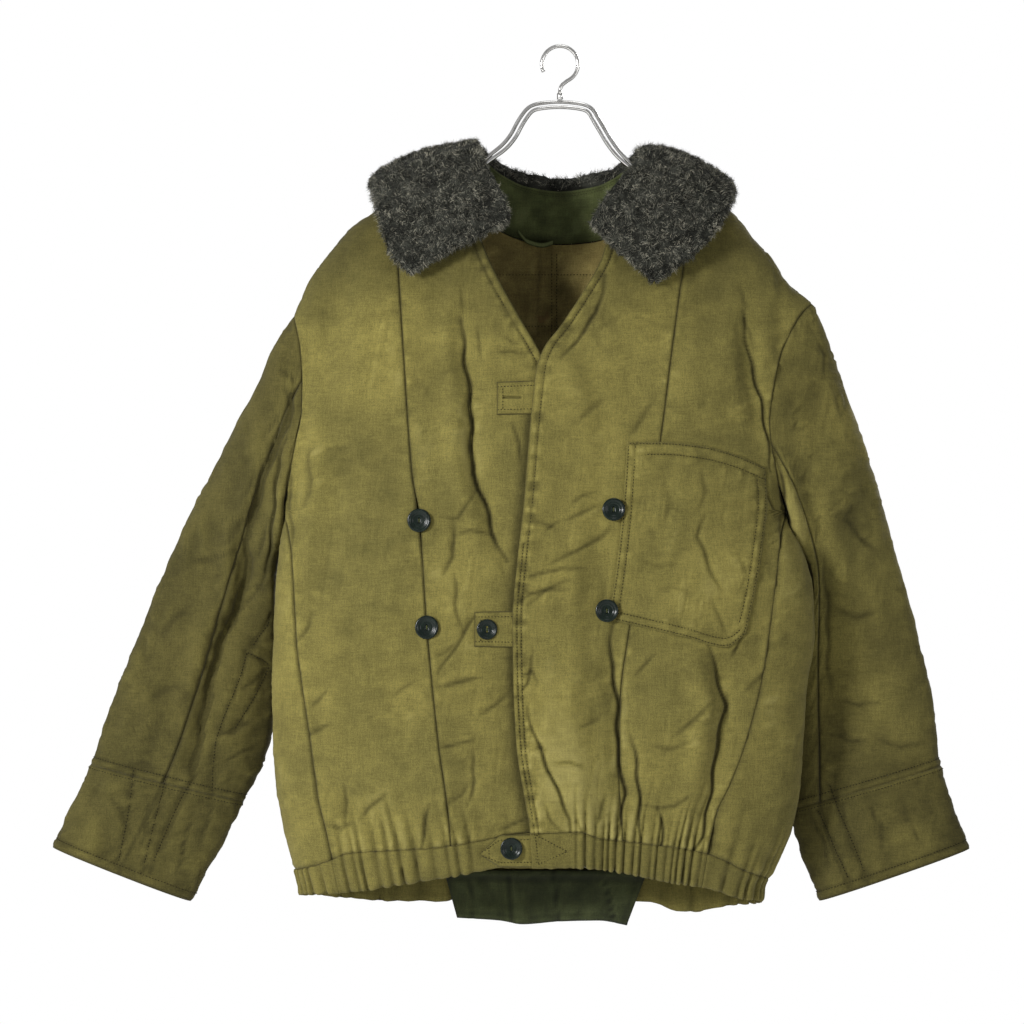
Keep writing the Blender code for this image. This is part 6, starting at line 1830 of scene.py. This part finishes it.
class Look:
    """A material under construction, with short ways to add and join its nodes."""

    def __init__(self, name, colour, roughness, metallic=0.0, sheen=0.0):
        self.material = bpy.data.materials.new(name)
        self.material.use_nodes = True
        self.tree = self.material.node_tree
        self.shader = self.tree.nodes["Principled BSDF"]
        self.shader.inputs["Base Color"].default_value = (*colour, 1)
        self.shader.inputs["Roughness"].default_value = roughness
        self.shader.inputs["Metallic"].default_value = metallic
        if roughness > 0.5:
            self.shader.inputs["Specular IOR Level"].default_value = 0.15
        self.shader.inputs["Sheen Weight"].default_value = sheen
        self.shader.inputs["Sheen Roughness"].default_value = 0.45
        self.place = self.add("ShaderNodeTexCoord").outputs["Object"]

    def add(self, kind, **values):
        """A node with values for its properties or sockets."""
        node = self.tree.nodes.new(kind)
        for key, value in values.items():
            setattr(node, key, value)
        return node

    def join(self, source, node, socket):
        """Join an output, or set a value, to a node's input."""
        if isinstance(source, bpy.types.NodeSocket):
            self.tree.links.new(source, node.inputs[socket])
        else:
            node.inputs[socket].default_value = source

    def stretched(self, scale):
        """Object coordinates stretched by a scale."""
        node = self.add("ShaderNodeMapping")
        self.join(self.place, node, "Vector")
        node.inputs["Scale"].default_value = scale
        return node.outputs["Vector"]

    def speckle(self, scale, detail=3.0, rough=0.6, stretch=None):
        """Noise that changes over 1/scale metres."""
        node = self.add("ShaderNodeTexNoise")
        self.join(self.stretched(stretch) if stretch else self.place, node, "Vector")
        node.inputs["Scale"].default_value = scale
        node.inputs["Detail"].default_value = detail
        node.inputs["Roughness"].default_value = rough
        return node.outputs["Fac"]

    def ribs(self, scale, direction, distortion=1.5):
        """Fine threads of a weave along one direction."""
        node = self.add("ShaderNodeTexWave", bands_direction=direction)
        self.join(self.place, node, "Vector")
        node.inputs["Scale"].default_value = scale
        node.inputs["Distortion"].default_value = distortion
        node.inputs["Detail"].default_value = 2.0
        return node.outputs["Fac"]

    def sum(self, first, second, how="ADD", clamp=False):
        """Two values added, multiplied or otherwise combined."""
        node = self.add("ShaderNodeMath", operation=how, use_clamp=clamp)
        self.join(first, node, 0)
        self.join(second, node, 1)
        return node.outputs["Value"]

    def spread(self, value, low, high, to_low, to_high):
        """A value mapped from one range to another."""
        node = self.add("ShaderNodeMapRange")
        self.join(value, node, "Value")
        for key, number in zip(("From Min", "From Max", "To Min", "To Max"), (low, high, to_low, to_high)):
            node.inputs[key].default_value = number
        return node.outputs["Result"]

    def mix(self, share, first, second, blend="MIX"):
        """Two colours mixed by a share."""
        node = self.add("ShaderNodeMix", data_type="RGBA", blend_type=blend)
        self.join(share, node, 0)
        for socket, colour in ((6, first), (7, second)):
            if isinstance(colour, bpy.types.NodeSocket):
                self.tree.links.new(colour, node.inputs[socket])
            else:
                node.inputs[socket].default_value = (*colour, 1)
        return node.outputs[2]

    def tone(self):
        """The mesh's tone, from dark below 0 to light above it: painted shade and light on the cloth, each strand's own
        colour on the pile.
        """
        return self.add("ShaderNodeAttribute", attribute_name="tone").outputs["Fac"]

    def grey(self, value):
        """A value as a grey colour."""
        node = self.add("ShaderNodeCombineColor")
        for socket in range(3):
            self.join(value, node, socket)
        return node.outputs["Color"]

    def done(self, colour=None, rough=None, height=None, distance=0.0004, strength=1.0):
        """Join colour, roughness and fine relief to the shader."""
        if colour is not None:
            self.join(colour, self.shader, "Base Color")
        if rough is not None:
            self.join(rough, self.shader, "Roughness")
        if height is not None:
            node = self.add("ShaderNodeBump")
            node.inputs["Strength"].default_value = strength
            node.inputs["Distance"].default_value = distance
            self.join(height, node, "Height")
            self.join(node.outputs["Normal"], self.shader, "Normal")
        return self.material


def cloth_look(name, light, dark, worn, roughness=0.88, sheen=0.04, fade=1.0, stain=None):
    """Woven cloth: faded patches, streaks of uneven yarn, specks, pale worn ridges, and the mesh's tone multiplied in
    as painted shade and light, darkest in seams, creases and hollows.
    """
    look = Look(name, light, roughness, sheen=sheen)
    broad = look.speckle(7, 4, 0.55)
    middle = look.speckle(38, 5, 0.6)
    upright = look.speckle(1, 3, 0.6, (760, 760, 70))
    level = look.speckle(1, 3, 0.6, (80, 80, 860))
    yarn = look.sum(look.sum(upright, level), 0.5, "MULTIPLY")
    patches = look.spread(broad, 0.35, 0.65, 0, 0.6 * fade)
    share = look.sum(patches, look.spread(middle, 0.35, 0.7, 0, 0.5 * fade), clamp=True)
    colour = look.mix(share, light, dark)
    grain = look.speckle(1100, 2, 0.6)
    streak = look.spread(look.sum(yarn, look.sum(grain, 0.5, "SUBTRACT")), 0.3, 0.7, 0.72, 1.26)
    colour = look.mix(1.0, colour, look.grey(streak), "MULTIPLY")
    # The mesh's tone is multiplied in as painted shade and light, 2.3 to its power.
    tone = look.tone()
    deep = look.spread(look.sum(2.3, tone, "POWER"), 0.3, 2.3, 0.3, 2.3)
    colour = look.mix(1.0, colour, look.grey(deep), "MULTIPLY")
    rub = look.spread(tone, 0.12, 0.5, 0.0, 0.35)
    colour = look.mix(rub, colour, worn)
    specks = look.spread(look.speckle(330, 2, 0.5), 0.68, 0.74, 0.0, 0.35)
    colour = look.mix(specks, colour, dark)
    if stain is not None:
        away = look.add("ShaderNodeVectorMath", operation="DISTANCE")
        look.join(look.place, away, 0)
        away.inputs[1].default_value = stain
        edge = look.sum(away.outputs["Value"], look.spread(look.speckle(120, 3), 0.3, 0.7, -0.004, 0.004))
        colour = look.mix(look.spread(edge, 0.004, 0.013, 0.55, 0.0), colour, (0.16, 0.045, 0.03))
    height = look.sum(look.sum(look.ribs(290, "Z"), look.ribs(290, "X")), look.sum(yarn, 1.6, "MULTIPLY"))
    rough = look.spread(middle, 0.3, 0.7, roughness - 0.06, min(1.0, roughness + 0.06))
    return look.done(colour, rough, height, 0.00022, 0.8)


def pile_look(name, hair):
    """Grey pile: each strand's own tone, from near black to pale beige."""
    look = Look(name, (0.03, 0.031, 0.024), 0.85, sheen=0.05)
    ramp = look.add("ShaderNodeValToRGB")
    look.join(look.spread(look.tone(), -1.2, 1.6, 0, 1), ramp, "Fac")
    stops = (
        (0.0, (0.006, 0.006, 0.005)),
        (0.36, (0.022, 0.023, 0.017)),
        (0.6, (0.078, 0.080, 0.064)),
        (0.8, (0.18, 0.175, 0.140)),
        (1.0, (0.32, 0.30, 0.23)),
    )
    ramp.color_ramp.elements.remove(ramp.color_ramp.elements[1])
    for k, (at, colour) in enumerate(stops):
        point = ramp.color_ramp.elements.new(at) if k else ramp.color_ramp.elements[0]
        point.color = (*colour, 1)
    patch = look.spread(look.speckle(60, 4), 0.35, 0.65, 0.75, 1.25)
    colour = look.mix(1.0, ramp.outputs["Color"], look.grey(patch), "MULTIPLY")
    if hair:
        return look.done(colour, look.spread(look.speckle(300, 2), 0.3, 0.7, 0.7, 0.95))
    dark = look.mix(1.0, colour, (0.55, 0.55, 0.55), "MULTIPLY")
    return look.done(dark, None, look.speckle(700, 5, 0.7), 0.0012, 1.0)


def plastic_look(name):
    """Moulded black-green plastic, scuffed on its rim."""
    look = Look(name, (0.013, 0.021, 0.014), 0.25)
    look.shader.inputs["Specular IOR Level"].default_value = 0.24
    cloud = look.speckle(160, 4)
    colour = look.mix(look.spread(cloud, 0.35, 0.7, 0, 1), (0.002, 0.005, 0.0035), (0.005, 0.0105, 0.007))
    scuff = look.speckle(900, 3, 0.7, (1, 1, 0.3))
    rough = look.spread(scuff, 0.3, 0.75, 0.22, 0.3)
    return look.done(colour, rough, scuff, 0.00002, 0.3)


def steel_look(name):
    """Bright plated rod with fine drawn lines."""
    look = Look(name, (0.66, 0.655, 0.64), 0.16, metallic=1.0)
    lines = look.speckle(1, 3, 0.6, (260, 1600, 260))
    colour = look.mix(look.spread(look.speckle(90, 4), 0.35, 0.7, 0, 1), (0.72, 0.715, 0.70), (0.50, 0.49, 0.47))
    return look.done(colour, look.spread(lines, 0.3, 0.7, 0.10, 0.26), lines, 0.00003, 0.6)


def thread_look(name, colour):
    """Twisted sewing thread."""
    look = Look(name, colour, 0.85)
    twist = look.ribs(900, "DIAGONAL", 0.5)
    shade = look.mix(look.spread(twist, 0.2, 0.8, 0, 1), colour, tuple(c * 0.5 for c in colour))
    return look.done(shade, None, twist, 0.00008, 0.8)


def stage_look(name, colour):
    """Plain pale studio surface."""
    look = Look(name, colour, 0.9)
    tint = look.mix(look.spread(look.speckle(3, 2), 0.4, 0.6, 0, 1), colour, tuple(c * 0.985 for c in colour))
    return look.done(tint)


# Floor: left, right, near and far edge, and height, in metres
FLOOR = (-3, 3, -3.2, 1.5, -1.36)
FLOOR_COLOUR = (0.86, 0.86, 0.85)
# The world lights the cloth softly, and the camera sees it as the photo's white
WORLD_AS_LIGHT = 0.39
WORLD_AS_SEEN = 1.0
# Lamps: name, place, size in metres and power in watts
LAMPS = (
    ("key", (-2.6, -2.7, 0.25), 0.8, 165),
    ("fill", (2.6, -2.9, -0.2), 1.6, 26),
    ("top", (0.2, -0.8, 2.0), 1.2, 12),
    ("behind", (1.9, 3.0, 0.7), 1.6, 75),
)
LAMP_AIM = (0, 0, -0.5)
# Camera straight in front, framed as the photo is
SENSOR_WIDTH = 36
CAMERA_DISTANCE = 4.5
PHOTO_PIXELS = 1024
PHOTO_WIDTH = PHOTO_PIXELS * MM_A_PIXEL * MM
CAMERA_X = (PHOTO_PIXELS / 2 - HOOK_PIXEL[0]) * MM_A_PIXEL * MM
CAMERA_Z = (HOOK_PIXEL[1] - PHOTO_PIXELS / 2) * MM_A_PIXEL * MM


def stage():
    """Floor, light and camera."""
    data = bpy.data.meshes.new("floor")
    left, right, near, far, height = FLOOR
    corners = [(left, near, height), (right, near, height), (right, far, height), (left, far, height)]
    data.from_pydata(corners, [], [(0, 1, 2, 3)])
    data.materials.append(stage_look("floor_paint", FLOOR_COLOUR))
    floor = bpy.data.objects.new("floor", data)
    bpy.context.scene.collection.objects.link(floor)
    world = bpy.data.worlds.new("studio")
    world.use_nodes = True
    tree = world.node_tree
    soft = tree.nodes["Background"]
    seen = tree.nodes.new("ShaderNodeBackground")
    for background, strength in ((soft, WORLD_AS_LIGHT), (seen, WORLD_AS_SEEN)):
        background.inputs["Color"].default_value = (1, 1, 1, 1)
        background.inputs["Strength"].default_value = strength
    choice = tree.nodes.new("ShaderNodeMixShader")
    path = tree.nodes.new("ShaderNodeLightPath")
    tree.links.new(path.outputs["Is Camera Ray"], choice.inputs[0])
    tree.links.new(soft.outputs[0], choice.inputs[1])
    tree.links.new(seen.outputs[0], choice.inputs[2])
    tree.links.new(choice.outputs[0], tree.nodes["World Output"].inputs["Surface"])
    bpy.context.scene.world = world
    bpy.context.scene.view_settings.view_transform = "Standard"
    for name, place, size, power in LAMPS:
        light = bpy.data.lights.new(name, "AREA")
        light.shape = "DISK"
        light.size = size
        light.energy = power
        lamp = bpy.data.objects.new(name, light)
        lamp.location = place
        lamp.rotation_mode = "QUATERNION"
        lamp.rotation_quaternion = (Vector(LAMP_AIM) - Vector(place)).to_track_quat("-Z", "Y")
        bpy.context.scene.collection.objects.link(lamp)
    camera_data = bpy.data.cameras.new("camera")
    camera_data.sensor_width = SENSOR_WIDTH
    camera_data.lens = SENSOR_WIDTH * CAMERA_DISTANCE / PHOTO_WIDTH
    camera = bpy.data.objects.new("camera", camera_data)
    camera.location = (CAMERA_X, -CAMERA_DISTANCE, CAMERA_Z)
    camera.rotation_euler = (math.pi / 2, 0, 0)
    bpy.context.scene.collection.objects.link(camera)
    bpy.context.scene.camera = camera


LINING_STAIN = (-0.016, 0.036, -0.281)


def main():
    """Build every piece."""
    cotton = cloth_look("olive_cotton_woven", OLIVE, OLIVE_DARK, OLIVE_WORN)
    khaki = cloth_look(
        "khaki_lining_woven", (0.21, 0.165, 0.052), (0.14, 0.11, 0.036), (0.28, 0.23, 0.09), stain=LINING_STAIN
    )
    green = cloth_look("dark_green_woven", (0.068, 0.078, 0.025), (0.040, 0.048, 0.016), (0.11, 0.12, 0.055))
    quilt = cloth_look("dark_green_quilted", (0.042, 0.050, 0.016), (0.022, 0.028, 0.009), (0.09, 0.1, 0.05), 0.6, 0.08)
    pile = pile_look("grey_pile_ground", False)
    strands = pile_look("grey_pile_strands", True)
    plastic = plastic_look("black_green_plastic_moulded")
    steel = steel_look("bright_steel_plated")
    thread = thread_look("olive_thread", (0.014, 0.012, 0.005))
    made = body(cotton)
    for name, node, pick in (
        ("lining_left", "back_left", slice(0, 52)),
        ("lining_right", "back_right", slice(-52, None)),
    ):
        lining(name, made[node][1], made[node][2], pick, name, khaki)
    band_piece("band_left", False, cotton, "end")
    band_piece("band_right", True, cotton, "start")
    band_piece("band_back", False, cotton)
    lines = front_lines() + pocket(cotton) + lining_lines()
    lines += sleeve("left", False, cotton)
    lines += sleeve("right", True, cotton)
    lines += strap("strap_top", STRAP_TOP, cotton, (-50.0, -369.0, 17.0))
    lines += strap("strap_middle", STRAP_MIDDLE, cotton)
    lines += strap("strap_waist", STRAP_WAIST, cotton)
    for index, name in enumerate(BUTTON_NAMES):
        button(index, name, plastic)
    button_thread(green)
    flap(quilt)
    stand_lines = collar(pile, green, strands)
    stitches("sewing", lines, thread)
    stitches("collar_sewing", stand_lines, thread, 3.0, 0.3, 6)
    hanging_loop(green)
    hanger(steel)
    stage()


main()
